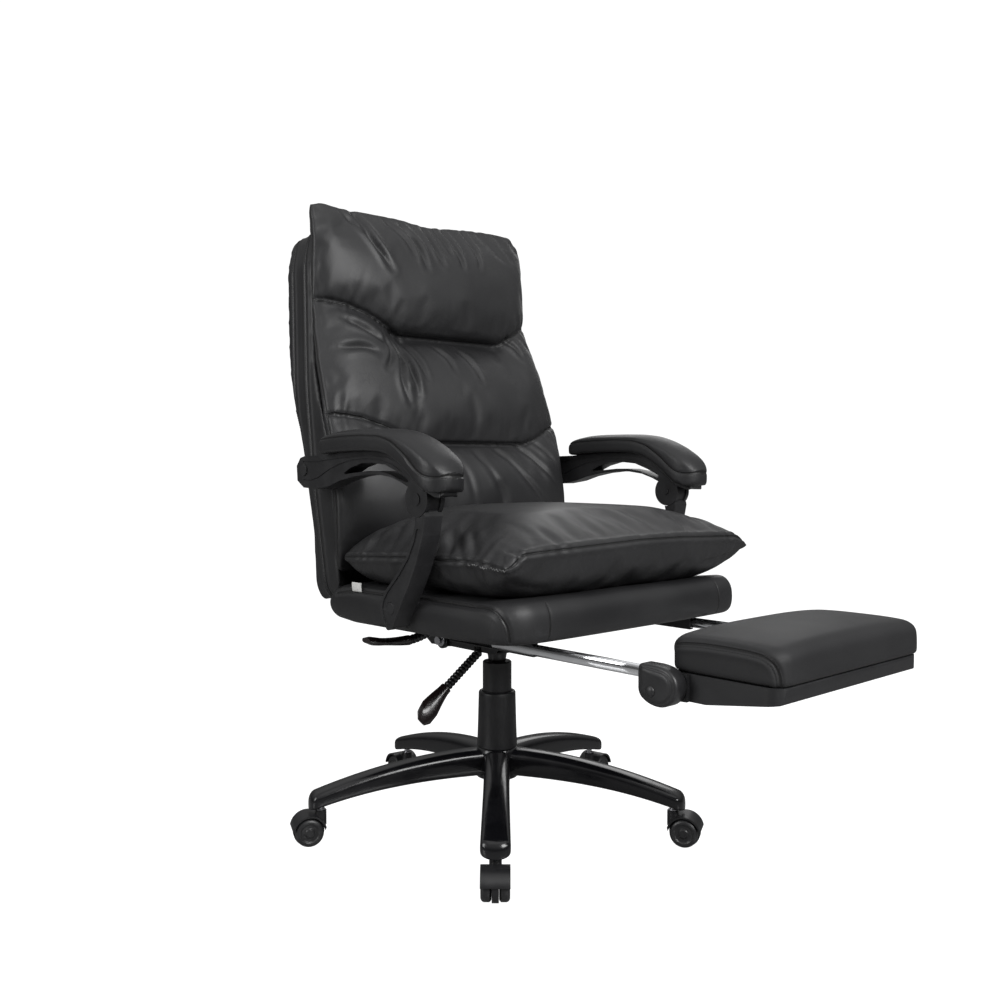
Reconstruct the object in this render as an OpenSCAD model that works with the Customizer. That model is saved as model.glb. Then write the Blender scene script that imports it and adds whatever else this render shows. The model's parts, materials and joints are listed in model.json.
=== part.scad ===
// Reclining swivel office chair with a slide-out, flip-up footrest.
// Millimetres. +Z up, origin on the floor under the column, the chair faces -Y,
// so the sitter's right side, with both levers, is -X.

/* [Casters] */
// Diameter of each caster wheel
wheel_d = 50; // [44:1:54]
// Width of one wheel of a twin caster
wheel_w = 18; // [14:1:22]
// Thickness of the hood's web between the two wheels
web_w = 11; // [8:1:16]
// Distance from the swivel stem to the wheel axle
caster_trail = 22; // [20:1:26]
// Diameter of the wheel axle
wheel_axle_d = 6; // [5:0.5:8]
// Diameter of the caster's swivel stem
stem_d = 11; // [9:0.5:12]
// Depth of the stem's socket in the leg
stem_grip = 20; // [14:1:22]

/* [Base] */
// Distance from the column to the caster stems
base_r = 330; // [290:5:370]
// Turn of the base's first leg from straight ahead, seen from above
base_turn = -43; // [-180:1:180]
// Height of the legs' undersides above the floor at the stems
leg_clear = 62; // [60:1:70]
// Width of a leg at its end
leg_end_w = 43; // [36:1:50]
// Width of a leg where it leaves the hub
leg_root_w = 50; // [40:1:56]
// Height of a leg at its end
leg_end_h = 27; // [24:1:34]
// Diameter of the hub
hub_d = 80; // [72:1:92]
// Height of the hub's top above the floor
hub_top = 148; // [138:1:160]
// Height of the hub's solid wall
hub_h = 56; // [46:1:62]

/* [Column] */
// Diameter of the gas lift's outer tube
lift_tube_d = 50; // [46:1:52]
// Diameter of the sliding gas cylinder
cylinder_d = 28; // [26:1:30]
// Diameter of the piston rod
rod_d = 10; // [8:1:12]
// Height adjustment of the seat
lift_travel = 80; // [60:5:85]
// Height of the wide lower sleeve
lower_sleeve_h = 104; // [96:1:112]
// Diameter of the upper sleeve
upper_sleeve_d = 54; // [54:0.5:56]
// Visible height of the upper sleeve at the lowest seat setting
upper_sleeve_h = 56; // [46:1:66]
// Wall of both sleeves
sleeve_wall = 1.5; // [1.2:0.1:1.5]

/* [Mechanism] */
// Width of the pressed steel pan under the seat
pan_w = 96; // [84:2:110]
// Thickness of the pan's steel
pan_wall = 3; // [2.5:0.5:4]
// Height of the pan
pan_h = 78; // [72:1:84]
// Distance of the pan's front wall ahead of the column
pan_front = 60; // [50:2:70]
// Length of the mounting flange, front to back
flange_l = 175; // [160:5:190]
// Width of the mounting flange
flange_w = 180; // [160:5:200]
// Diameter of the recline axle
recline_axle_d = 16; // [12:1:18]
// Distance of the recline axle behind the column
recline_y = 97; // [93:1:100]
// Depth of the recline axle below the seat board
recline_drop = 68; // [64:1:70]
// Diameter of the lever rods
lever_rod_d = 8; // [6:1:9]
// Diameter of the ribbed sleeve on the lever rods
lever_sleeve_d = 16; // [14:1:18]

/* [Seat] */
// Width of the seat
seat_w = 570; // [540:5:576]
// Depth of the seat's upholstered base
seat_depth = 460; // [440:5:470]
// Distance of the seat's front edge ahead of the column
seat_front = 345; // [335:1:350]
// Height of the seat's upholstered base
seat_base_h = 60; // [54:1:66]
// Thickness of the plywood seat board
board_t = 12; // [10:1:15]
// Thickness of the loose seat pillow at its crown
pillow_t = 130; // [110:2:134]
// Depth of the seat pillow
pillow_depth = 414; // [400:2:418]

/* [Back] */
// Lean of the back from upright
back_lean = 9; // [7:0.5:10]
// Length of the padded back shell
shell_l = 672; // [640:4:700]
// Width of the back shell at the lumbar
shell_w = 552; // [520:4:560]
// Width of the back shell at its top
shell_top_w = 500; // [480:4:520]
// Thickness of the back shell
shell_t = 80; // [74:1:88]
// Length of the back pillow
back_pillow_l = 682; // [660:2:700]
// Thickness of the plywood back board
back_board_t = 12; // [10:1:14]
// Thickness of the back bracket's steel
bracket_t = 6; // [5:0.5:8]

/* [Arms] */
// Thickness of the arm mouldings
arm_w = 35; // [30:1:38]
// Diameter of the barrel where the arm turns on its upright
barrel_d = 55; // [50:1:58]
// Diameter of the arm's barrel pin
barrel_pin_d = 12; // [10:1:14]
// Diameter of the pivot pin at the seat's side
seat_pin_d = 14; // [12:1:16]
// Diameter of the bolt at the arm's rear end
rear_bolt_d = 12; // [10:1:14]
// Width of the arm pad
pad_w = 76; // [70:2:84]
// Thickness of the arm pad over the arched part of the bar
pad_t = 35; // [30:1:38]

/* [Footrest] */
// Distance between the centres of the two chrome rails
rail_span = 400; // [392:2:412]
// Height of a rail
rail_h = 18; // [16:1:19]
// Width of a rail
rail_w = 12; // [10:1:13]
// Length of a rail
rail_l = 320; // [300:5:330]
// Wall of a rail
rail_wall = 1.5; // [1:0.1:2]
// Distance of the flip hinge ahead of the column
hinge_y = 545; // [545:1:556]
// Depth of the footrest pad, front to back
foot_depth = 180; // [160:2:182]
// Width of the footrest pad
foot_w = 376; // [350:2:378]
// Thickness of the footrest pad
foot_t = 58; // [48:1:60]
// Diameter of the footrest's hinge pins
hinge_pin_d = 8; // [6:1:10]

/* [Hidden] */

// Finishes
plastic = [0.09, 0.09, 0.09];
enamel = [0.04, 0.04, 0.045];
leather = [0.13, 0.13, 0.13];
steel = [0.62, 0.62, 0.64];
chrome = [0.82, 0.83, 0.85];
plywood = [0.70, 0.55, 0.38];
label_white = [0.93, 0.93, 0.92];

// Clearances and small steps shared by several pieces
$fn = 48;
run = 0.05;          // radial clearance of a turning or sliding fit
air = 0.3;           // gap between pieces that must not rub
leg_count = 5;
leg_step = 360 / leg_count;

// Heights of the column's stack
axle_z = wheel_d / 2;
leg_end_top = leg_clear + leg_end_h;
tube_bottom = hub_top - hub_h - 8;
tube_top = hub_top + lower_sleeve_h - 2;
tube_wall = 2;
upper_sleeve_top = hub_top + lower_sleeve_h + upper_sleeve_h;
pan_floor = upper_sleeve_top + 22;
pan_top = pan_floor + pan_h;
cylinder_bottom = tube_bottom + 26;
cylinder_top = pan_floor + 16;
lower_sleeve_d = upper_sleeve_d + 15;
flange_t = 4;

// Seat
seat_z = pan_top;
seat_rear = seat_depth - seat_front;
board_inset = 24;
pillow_z = seat_z + seat_base_h + air;
pillow_front = seat_front + 7;

// Recline hinge and the back's own frame
recline_z = seat_z - recline_drop;
back_root = [0, recline_y + 93, recline_z + 100];
board_rear = -8;
arm_inner = max(seat_w / 2 + 3, shell_w / 2 + 12) + air;
arm_mid = arm_inner + arm_w / 2;
seat_pivot = [-98, seat_z + 38];
barrel = [-168, seat_z + 214];
rear_pivot = [147, seat_z + 257];

// Footrest
rail_z = seat_z - 25;
hinge_z = rail_z - 12;
rail_x = max(rail_span / 2, foot_w / 2 + rail_w / 2 + 6);
foot_rear = hinge_y + 4;
foot_z = rail_z + 13;

// ---------- shared shapes ----------

// Points of a superellipse, w by h, counted anticlockwise
function oval(w, h, power = 2, steps = 24) =
    [for (i = [0 : steps - 1]) let (a = 360 * i / steps, c = cos(a), s = sin(a))
        [w / 2 * sign(c) * pow(abs(c), 2 / power), h / 2 * sign(s) * pow(abs(s), 2 / power)]];

// Smooth value between pairs [x, value] that rise in x
function between(x, a, b) = let (t = max(0, min(1, (x - a[0]) / (b[0] - a[0])))) a[1] + (b[1] - a[1]) * t;
function along(x, pairs, i = 0) =
    i >= len(pairs) - 2 || x < pairs[i + 1][0] ? between(x, pairs[i], pairs[i + 1]) : along(x, pairs, i + 1);

// Round value that is 1 in the middle and falls to 0 at both ends of a span
function swell(t, power = 2) = pow(max(0, 1 - pow(abs(t), power)), 1 / power);

// Closed skin over equal rings of points, capped at both ends
function reversed(v) = [for (i = [len(v) - 1 : -1 : 0]) v[i]];
function middle(ring) = [for (p = ring) 1] * ring / len(ring);
function turn_sign(rings) =
    let (r = rings[0], c = middle(r), n = len(r),
         spin = [for (p = r) 1] * [for (j = [0 : n - 1]) cross(r[j] - c, r[(j + 1) % n] - c)])
    spin * (middle(rings[1]) - c);
module loft(rings_in) {
    rings = turn_sign(rings_in) > 0 ? rings_in : [for (r = rings_in) reversed(r)];
    n = len(rings[0]);
    m = len(rings);
    sides = [for (i = [0 : m - 2], j = [0 : n - 1]) let (k = (j + 1) % n)
        each [[i * n + j, (i + 1) * n + j, i * n + k], [(i + 1) * n + j, (i + 1) * n + k, i * n + k]]];
    first = [for (j = [0 : n - 1]) j];
    last = [for (j = [n - 1 : -1 : 0]) (m - 1) * n + j];
    polyhedron([for (r = rings) each r], concat(sides, [first, last]), convexity = 8);
}

// Outline of a band of the given half width along a line of points
function band_side(pts, half, sgn) =
    [for (i = [0 : len(pts) - 1])
        let (a = pts[max(0, i - 1)], b = pts[min(len(pts) - 1, i + 1)], d = (b - a) / norm(b - a))
            pts[i] + sgn * half * [-d[1], d[0]]];
function band(pts, half) = concat(band_side(pts, half, 1), reversed(band_side(pts, half, -1)));

// Side view (y, z) given a thickness across x, from x0 to x0 + w
module side_plate(x0, w) {
    translate([x0, 0, 0]) rotate([90, 0, 90]) linear_extrude(w) children();
}

// Round bar across x, centred on x = 0 unless x0 is given
module cross_pin(y, z, d, w, x0 = undef) {
    translate([is_undef(x0) ? -w / 2 : x0, y, z]) rotate([0, 90, 0]) cylinder(d = d, h = w);
}

// Turns local back coordinates (x, forward-back, up the back) into place
module in_back_frame() {
    translate(back_root) rotate([-back_lean, 0, 0]) children();
}

module on_leg(k) {
    rotate([0, 0, base_turn + leg_step * (k - 1) - 90]) children();
}

module mirrored_if(left) {
    if (left) mirror([1, 0, 0]) children();
    else children();
}

// ---------- five-star base ----------

leg_start = hub_d / 2 - 12;
leg_tip = base_r + leg_end_w / 2;
function leg_t(r) = (r - leg_start) / (leg_tip - leg_start);
function leg_z_top(r) = hub_top - 1.5 - (hub_top - 1.5 - leg_end_top) * pow(leg_t(r), 2);
function leg_z_low(r) = hub_top - 50 - (hub_top - 50 - leg_clear) * pow(leg_t(r), 2.6);
function leg_width(r) = leg_root_w - 9 * sin(180 * pow(leg_t(r), 0.8)) + (leg_end_w - leg_root_w) * leg_t(r);

// Side view of a leg between its lower line, or a line below its top, and the top lowered by drop
leg_stations = [for (t = [0 : 0.1 : 1]) leg_start + (leg_tip - leg_start) * t];
module leg_side(drop, depth = undef) {
    rotate([90, 0, 0]) linear_extrude(2 * leg_root_w, center = true)
        polygon(concat([for (r = leg_stations) [r, is_undef(depth) ? leg_z_low(r) : leg_z_top(r) - depth]],
            [for (r = reversed(leg_stations)) [r, leg_z_top(r) - drop]]));
}
module leg_plan() {
    translate([0, 0, leg_clear - 10]) linear_extrude(hub_top) intersection() {
        polygon(concat([for (r = leg_stations) [r, -leg_width(r) / 2]], [for (r = reversed(leg_stations)) [r, leg_width(r) / 2]]));
        hull() {
            translate([leg_tip - leg_end_w / 2, 0]) circle(d = leg_end_w);
            circle(d = leg_root_w + 8);
        }
    }
}
module ridge_plan() {
    inset = 8;
    translate([0, 0, leg_clear]) linear_extrude(hub_top)
        polygon([[leg_start, inset - leg_root_w / 2], [base_r, inset - leg_end_w / 2], [leg_tip - 6, 3 - leg_end_w / 4],
                 [leg_tip - 6, leg_end_w / 4 - 3], [base_r, leg_end_w / 2 - inset], [leg_start, leg_root_w / 2 - inset]]);
}

// A leg: full-width body with a narrower raised ridge along its top
leg_shoulder = 5;
module leg() {
    intersection() {
        leg_side(leg_shoulder);
        leg_plan();
    }
    intersection() {
        leg_side(0, 2 * leg_shoulder);
        ridge_plan();
    }
}

module star_base() color(enamel) difference() {
    union() {
        translate([0, 0, hub_top - hub_h]) cylinder(d = hub_d, h = hub_h);
        for (k = [1 : leg_count]) on_leg(k) leg();
    }
    translate([0, 0, tube_bottom - 1]) cylinder(d = lift_tube_d, h = hub_top);
    for (k = [1 : leg_count]) on_leg(k)
        translate([base_r, 0, leg_clear - 10]) cylinder(d = stem_d + 2 * run, h = stem_grip + 10);
}

// ---------- casters ----------

hood_gap = 2.5;
hood_r = wheel_d / 2 + hood_gap;
hood_wall = 3;
boss_d = stem_d + 9;
web_gap = 0.5;

module caster_frame(k) {
    on_leg(k) translate([base_r, 0, 0]) children();
}

module caster_stem(k) color(steel) caster_frame(k) {
    translate([0, 0, leg_clear - 18]) cylinder(d = stem_d, h = 18 + stem_grip - 1);
    translate([0, 0, leg_clear - 2.5]) cylinder(d = stem_d + 5, h = 2.5 - air);
}

// Fender over both wheels, the web between them and the upright boss for the stem
module caster_hood(k) color(plastic) caster_frame(k) difference() {
    union() {
        intersection() {
            translate([caster_trail, 0, axle_z]) rotate([90, 0, 0])
                cylinder(r = hood_r + hood_wall, h = 2 * wheel_w + web_w, center = true);
            translate([caster_trail, 0, axle_z + hood_r + 2]) rotate([0, -14, 0])
                cube([2.4 * hood_r, 3 * wheel_w + web_w, 2.2 * hood_r], center = true);
        }
        translate([caster_trail, 0, axle_z]) rotate([90, 0, 0]) cylinder(r = hood_r, h = web_w, center = true);
        translate([0, 0, axle_z + 8]) cylinder(d = boss_d, h = leg_clear - axle_z - 11);
    }
    for (s = [-1, 1]) translate([caster_trail, s * (web_w / 2 + wheel_w / 2 + 1), axle_z]) rotate([90, 0, 0])
        cylinder(r = hood_r, h = wheel_w + 2, center = true);
    translate([caster_trail, 0, axle_z]) rotate([90, 0, 0])
        cylinder(d = wheel_axle_d + 2 * run, h = 2 * web_w, center = true);
    translate([0, 0, leg_clear - 18]) cylinder(d = stem_d, h = 40);
    translate([caster_trail, 0, -10]) cube([3 * hood_r, 3 * hood_r, 26], center = true);
}

module caster_wheels(k) color(plastic) caster_frame(k) translate([caster_trail, 0, axle_z]) rotate([90, 0, 0]) {
    cylinder(d = wheel_axle_d, h = web_w + wheel_w, center = true);
    for (s = [0, 1]) mirror([0, 0, s]) translate([0, 0, web_w / 2 + web_gap]) rotate_extrude()
        polygon([[wheel_axle_d / 2 - 1, 0], [wheel_d / 2 - 3, 0], [wheel_d / 2, 3], [wheel_d / 2, wheel_w - 6],
                 [wheel_d / 2 - 1.5, wheel_w - 3], [wheel_d / 2 - 5, wheel_w - web_gap - 0.5],
                 [wheel_d / 2 - 8, wheel_w - web_gap - 0.5], [wheel_d / 2 - 10, wheel_w - 3],
                 [9, wheel_w - 3.5], [7, wheel_w - 1.5], [0, wheel_w - 1.5], [0, wheel_w / 2 - 2],
                 [wheel_axle_d / 2 - 1, wheel_w / 2 - 2]]);
}

// ---------- gas lift and its sleeves ----------

module lower_sleeve() color(plastic) translate([0, 0, hub_top]) rotate_extrude()
    polygon([[lower_sleeve_d / 2 + 3, 0], [lower_sleeve_d / 2 + 1.5, lower_sleeve_h * 0.4],
             [lower_sleeve_d / 2, lower_sleeve_h - 3], [lower_sleeve_d / 2 - 1, lower_sleeve_h - 1],
             [lower_sleeve_d / 2 - 2.5, lower_sleeve_h], [upper_sleeve_d / 2 + 2, lower_sleeve_h],
             [upper_sleeve_d / 2 + air, lower_sleeve_h - 1.5], [upper_sleeve_d / 2 + air, lower_sleeve_h - 4],
             [lower_sleeve_d / 2 - sleeve_wall, lower_sleeve_h - 6], [lower_sleeve_d / 2 + 3 - 2 * sleeve_wall, 0]]);

module lift_tube() color(steel) difference() {
    translate([0, 0, tube_bottom]) cylinder(d = lift_tube_d, h = tube_top - tube_bottom);
    translate([0, 0, tube_bottom + 4]) cylinder(d = lift_tube_d - 2 * tube_wall, h = tube_top - tube_bottom - 24);
    translate([0, 0, tube_bottom - 1]) cylinder(d = rod_d + 2 * run, h = 10);
    translate([0, 0, tube_top - 25]) cylinder(d = cylinder_d + 2 * run, h = 30);
}

module thrust_bearing() color(steel) translate([0, 0, tube_bottom + 4]) difference() {
    cylinder(d = cylinder_d, h = 6);
    translate([0, 0, -1]) cylinder(d = rod_d + 2 * run, h = 8);
}

// Rod that stands on the bearing, with its circlip below and the piston on top
piston_z = cylinder_bottom + lift_travel + 12;
module piston_rod() color(steel) {
    translate([0, 0, tube_bottom - 5]) cylinder(d = rod_d, h = piston_z - tube_bottom + 5);
    translate([0, 0, tube_bottom - 3]) cylinder(d = rod_d + 6, h = 3 - air);
    translate([0, 0, tube_bottom + 10]) cylinder(d = rod_d + 6, h = 4);
    translate([0, 0, piston_z]) cylinder(d = cylinder_d - 4, h = 12);
}

module gas_cylinder() color(steel) difference() {
    translate([0, 0, cylinder_bottom]) cylinder(d = cylinder_d, h = cylinder_top - cylinder_bottom);
    translate([0, 0, cylinder_bottom + 4])
        cylinder(d = cylinder_d - 4 + 2 * run, h = cylinder_top - cylinder_bottom - 24);
    translate([0, 0, cylinder_bottom - 1]) cylinder(d = rod_d + 2 * run, h = 10);
    translate([0, 0, cylinder_top - 12]) cylinder(d = valve_d + 2 * run, h = 20);
}

valve_d = 8;
valve_travel = 4.5;
tongue_z = cylinder_top + 6;
module valve_pin() color(steel) translate([0, 0, cylinder_top - 12 + valve_travel + air])
    cylinder(d = valve_d, h = tongue_z - 0.8 - (cylinder_top - 12 + valve_travel + air));

module upper_sleeve() color(plastic) {
    bore = upper_sleeve_d - 2 * sleeve_wall;
    long = upper_sleeve_top - hub_top - 3;
    translate([0, 0, hub_top + 3]) rotate_extrude()
        polygon([[bore / 2, 0], [upper_sleeve_d / 2, 0], [upper_sleeve_d / 2, long - 2], [upper_sleeve_d / 2 - 2, long],
                 [cylinder_d / 2, long], [cylinder_d / 2, long - 3], [bore / 2, long - 3]]);
}

// ---------- seat mechanism ----------

pan_rear = recline_y + 13;
socket_d = cylinder_d + 12;
lever_y = 0;
recline_lever_y = 10;
// Pivots of the two levers, on pins along y
height_pivot = [-30, tongue_z - 7];
recline_pivot = [-pan_w / 2 - 12, seat_z - 22];
bolt_x = flange_w / 2 - 14;
bolt_front = -flange_l / 2 + 12;
bolt_rear = flange_l / 2 - 30;

// Side wall of the pan, with a round boss for the recline axle at its rear corner
module pan_side() {
    offset(r = -3) offset(delta = 3) union() {
        polygon([[-pan_front, pan_floor + 22], [-pan_front + 14, pan_floor], [recline_y - 22, pan_floor],
                 [recline_y, recline_z - 13], [pan_rear, recline_z], [pan_rear, pan_top - 14],
                 [seat_rear - board_inset, pan_top - 10], [seat_rear - board_inset - 8, pan_top - 1],
                 [-pan_front, pan_top - 1]]);
        translate([recline_y, recline_z]) circle(r = 14);
    }
}

module pan_bolt_places() {
    for (x = [-bolt_x, bolt_x], y = [bolt_front, bolt_rear]) translate([x, y, 0]) children();
}

module mechanism_pan() color(enamel) difference() {
    union() {
        for (s = [0, 1]) mirror([s, 0, 0]) side_plate(pan_w / 2 - pan_wall, pan_wall) pan_side();
        translate([-pan_w / 2, -pan_front, pan_floor + 20]) cube([pan_w, pan_wall, pan_h - 21]);
        translate([-pan_w / 2 + 1, -pan_front + 13, pan_floor])
            cube([pan_w - 2, recline_y - 23 + pan_front - 13, pan_wall]);
        translate([-flange_w / 2, -flange_l / 2, pan_top - flange_t]) cube([flange_w, flange_l - 18, flange_t]);
        translate([0, 0, upper_sleeve_top]) cylinder(d1 = cylinder_d + 4, d2 = socket_d, h = pan_floor - upper_sleeve_top + 1);
        translate([0, 0, pan_floor]) cylinder(d = socket_d, h = 10);
        // Ears and pins the two levers turn on
        for (y = [-1, 1]) {
            translate([height_pivot[0] - 6, lever_y + y * 8 - 1.5, pan_floor + 1])
                cube([12, 3, height_pivot[1] - pan_floor + 5]);
            translate([recline_pivot[0] - 5, recline_lever_y + y * 8.5 - 1.5, recline_pivot[1] - 6])
                cube([18.5, 3, 12]);
        }
        translate([height_pivot[0], lever_y, height_pivot[1]]) rotate([90, 0, 0]) cylinder(d = lever_pin_d, h = 20, center = true);
        translate([recline_pivot[0], recline_lever_y, recline_pivot[1]]) rotate([90, 0, 0])
            cylinder(d = lever_pin_d, h = 22, center = true);
    }
    translate([0, 0, upper_sleeve_top - 1]) cylinder(d = cylinder_d, h = 60);
    cross_pin(recline_y, recline_z, recline_axle_d, pan_w + 2);
    pan_bolt_places() translate([0, 0, pan_top - 10]) cylinder(d = bolt_d, h = 20);
    // Notch for the height lever at the pan's lower edge, and the recline lever's window
    translate([-pan_w / 2 - 1, lever_y - 6.5, pan_floor - 1]) cube([24, 13, 27]);
    translate([-pan_w / 2 - 1, lever_y - lever_sleeve_d / 2 - 1.5, pan_floor - 1])
        cube([pan_wall + 8, lever_sleeve_d + 3, 30]);
    translate([-pan_w / 2 - 1, recline_lever_y - 7, recline_pivot[1] - 9]) cube([pan_wall + 2, 14, 18]);
    // Opening in the flange plate over the gas valve
    translate([-pan_w / 2 + 12, -34, pan_top - 10]) cube([pan_w - 24, 90, 20]);
}
lever_pin_d = 5;

bolt_d = 8;
module mechanism_bolts() color(steel) pan_bolt_places() {
    translate([0, 0, pan_top - flange_t - 5.5]) cylinder(d = 14.5, h = 5.5, $fn = 6);
    translate([0, 0, pan_top - flange_t - 0.5]) cylinder(d = bolt_d, h = flange_t + board_t);
}

axle_end = pan_w / 2 + bracket_t + 12;
module recline_axle() color(steel) {
    cross_pin(recline_y, recline_z, recline_axle_d, 2 * axle_end);
    for (s = [0, 1]) mirror([s, 0, 0])
        cross_pin(recline_y, recline_z, recline_axle_d + 7, 3.5, pan_w / 2 + bracket_t + 2 * air);
}

// Coil that turns the back upright again, wound round the axle between the pan's walls
spring_turns = 9;
spring_wire = 3.6;
spring_r = recline_axle_d / 2 + spring_wire / 2 + air;
module return_spring() color(steel) {
    steps = 12;
    span = pan_w - 2 * pan_wall - 12;
    loft([for (i = [0 : spring_turns * steps]) let (a = 360 * i / steps, x = span * (i / (spring_turns * steps) - 0.5))
        [for (j = [0 : 5]) let (r = spring_r + spring_wire / 2 * cos(60 * j))
            [x + spring_wire / 2 * sin(60 * j), recline_y + r * cos(a), recline_z + r * sin(a)]]]);
}

// ---------- levers on the right side ----------

// Height lever: tongue over the gas valve, then a rod that slopes out and down in a ribbed sleeve
height_slope = 35;
height_rod_l = 118;
sleeve_start = 20;
rib_pitch = 5.5;
height_knee = [height_pivot[0] + 2, height_pivot[1] - 3.3];
function rib(i, z0) = let (r = lever_sleeve_d / 2, z = z0 + i * rib_pitch)
    [[r - 2, z], [r, z + 0.25 * rib_pitch], [r, z + 0.65 * rib_pitch], [r - 2, z + 0.9 * rib_pitch]];
module height_lever_axis() {
    translate([height_knee[0], lever_y, height_knee[1]]) rotate([0, -90 - height_slope, 0]) children();
}
module height_lever_rod() color(plastic) difference() {
    ribs = floor((height_rod_l - sleeve_start) / rib_pitch);
    union() {
        translate([0, lever_y + 5, 0]) rotate([90, 0, 0]) linear_extrude(10)
            polygon([[valve_d / 2, tongue_z], [valve_d / 2, tongue_z + 4], [height_knee[0], tongue_z + 4],
                     [height_knee[0] - 8, tongue_z - 3], [height_knee[0] - 8, height_knee[1] - 4],
                     [height_knee[0], height_knee[1] - 4], [height_pivot[0] + 14, height_pivot[1]],
                     [height_pivot[0] + 14, tongue_z]]);
        height_lever_axis() {
            cylinder(d = lever_rod_d, h = height_rod_l + 20);
            rotate_extrude() polygon(concat([[lever_rod_d / 2 - 1, sleeve_start]],
                [for (i = [0 : ribs - 1]) each rib(i, sleeve_start)],
                [[lever_rod_d / 2 - 1, sleeve_start + ribs * rib_pitch]]));
        }
    }
    translate([height_pivot[0], lever_y, height_pivot[1]]) rotate([90, 0, 0])
        cylinder(d = lever_pin_d + 2 * run, h = 30, center = true);
}

// Flat paddle lofted along z, hollow for the rod's end
module paddle(long, wide, thick, bend) {
    difference() {
        loft([for (t = [0 : 0.125 : 1]) let (w = along(t, [[0, lever_sleeve_d], [0.15, lever_sleeve_d + 1], [0.62, wide],
              [0.87, wide * 0.9], [1, wide * 0.45]]), h = along(t, [[0, lever_sleeve_d - 1], [0.4, thick * 1.1], [0.87, thick * 0.8],
              [1, thick * 0.4]])) [for (p = oval(h, w, 2.6, 16)) [p[0] + bend * t * t, p[1], long * t]]]);
        translate([0, 0, -1]) cylinder(d = lever_rod_d, h = 25);
    }
}
module height_lever_paddle() color(plastic) height_lever_axis()
    translate([0, 0, height_rod_l - 1]) paddle(78, 28, 11, -10);

// Recline lever: rod from the lock, ribbed sleeve that dips under the rail, then its paddle
recline_path = [[24, 0], [0, 0], [-40, -1], [-70, -3], [-96, -9], [-118, -15], [-138, -18], [-158, -18]];
function lever_ring(p, r) = [for (q = oval(2 * r, 2 * r, 2, 12))
    [recline_pivot[0] + p[0], recline_lever_y + q[0], recline_pivot[1] + p[1] + q[1]]];
module recline_lever_rod() color(plastic) difference() {
    n = len(recline_path);
    rod = lever_rod_d / 2;
    full = lever_sleeve_d / 2;
    union() {
        loft(concat([for (i = [0 : 1]) lever_ring(recline_path[i], rod)],
            [lever_ring([-18, -0.4], rod)],
            [for (i = [1 : n - 3], j = [0 : 4]) if (i > 1 || j > 2) let (t = j / 5,
                p = recline_path[i] * (1 - t) + recline_path[i + 1] * t) lever_ring(p, j % 2 == i % 2 ? full : full - 1.8)],
            [lever_ring(recline_path[n - 2], full - 1.8), lever_ring(recline_path[n - 2] - [1, 0], rod),
             lever_ring(recline_path[n - 1], rod)]));
        translate([recline_pivot[0], recline_lever_y, recline_pivot[1]]) rotate([90, 0, 0])
            cylinder(d = lever_pin_d + 7, h = 12, center = true);
    }
    translate([recline_pivot[0], recline_lever_y, recline_pivot[1]]) rotate([90, 0, 0])
        cylinder(d = lever_pin_d + 2 * run, h = 30, center = true);
}
module recline_lever_paddle() color(plastic)
    translate([recline_pivot[0], recline_lever_y, recline_pivot[1]] + [recline_path[6][0] - 2, 0, recline_path[6][1]])
        rotate([0, -90, 0]) paddle(92, 32, 10, 10);

// ---------- seat ----------

// Plan of a seat cushion: straight sides, bowed front and round corners
module seat_plan(inset = 0) {
    offset(r = -inset) offset(r = 38) offset(delta = -38)
        polygon(concat([[-seat_w / 2, seat_rear], [-seat_w / 2, -seat_front + 12]],
            [for (t = [-0.8 : 0.2 : 0.8]) [seat_w / 2 * t, -seat_front + 12 * t * t * t * t]],
            [[seat_w / 2, -seat_front + 12], [seat_w / 2, seat_rear]]));
}

module seat_board() color(plywood) difference() {
    translate([0, 0, seat_z]) linear_extrude(board_t) offset(r = 20) offset(delta = -20) seat_plan(board_inset);
    pan_bolt_places() translate([0, 0, seat_z - 1]) cylinder(d = bolt_d, h = board_t + 2);
}

// Upholstered base: soft edges from a side profile and a plan, over the board's pocket
module seat_base() color(leather) difference() {
    intersection() {
        translate([0, 0, seat_z - 20]) linear_extrude(seat_base_h + 40) seat_plan();
        side_plate(-seat_w / 2, seat_w) offset(r = 16) offset(delta = -16)
            polygon([[-seat_front - 1, seat_z + 2], [seat_rear - 20, seat_z - 8], [seat_rear, seat_z + 4],
                     [seat_rear, seat_z + seat_base_h - 12], [seat_rear - 16, seat_z + seat_base_h - 1],
                     [-seat_front + 40, seat_z + seat_base_h], [-seat_front - 1, seat_z + seat_base_h - 10]]);
        translate([0, seat_rear + 1, 0]) rotate([90, 0, 0]) linear_extrude(seat_depth + 2) offset(r = 18) offset(delta = -18)
            polygon([[-seat_w / 2, seat_z - 10], [seat_w / 2, seat_z - 10], [seat_w / 2, seat_z + seat_base_h - 4],
                     [0, seat_z + seat_base_h + 4], [-seat_w / 2, seat_z + seat_base_h - 4]]);
    }
    translate([0, 0, seat_z - 30]) linear_extrude(30 + board_t + air) offset(r = 20) offset(delta = -20) seat_plan(board_inset - air);
}

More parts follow.
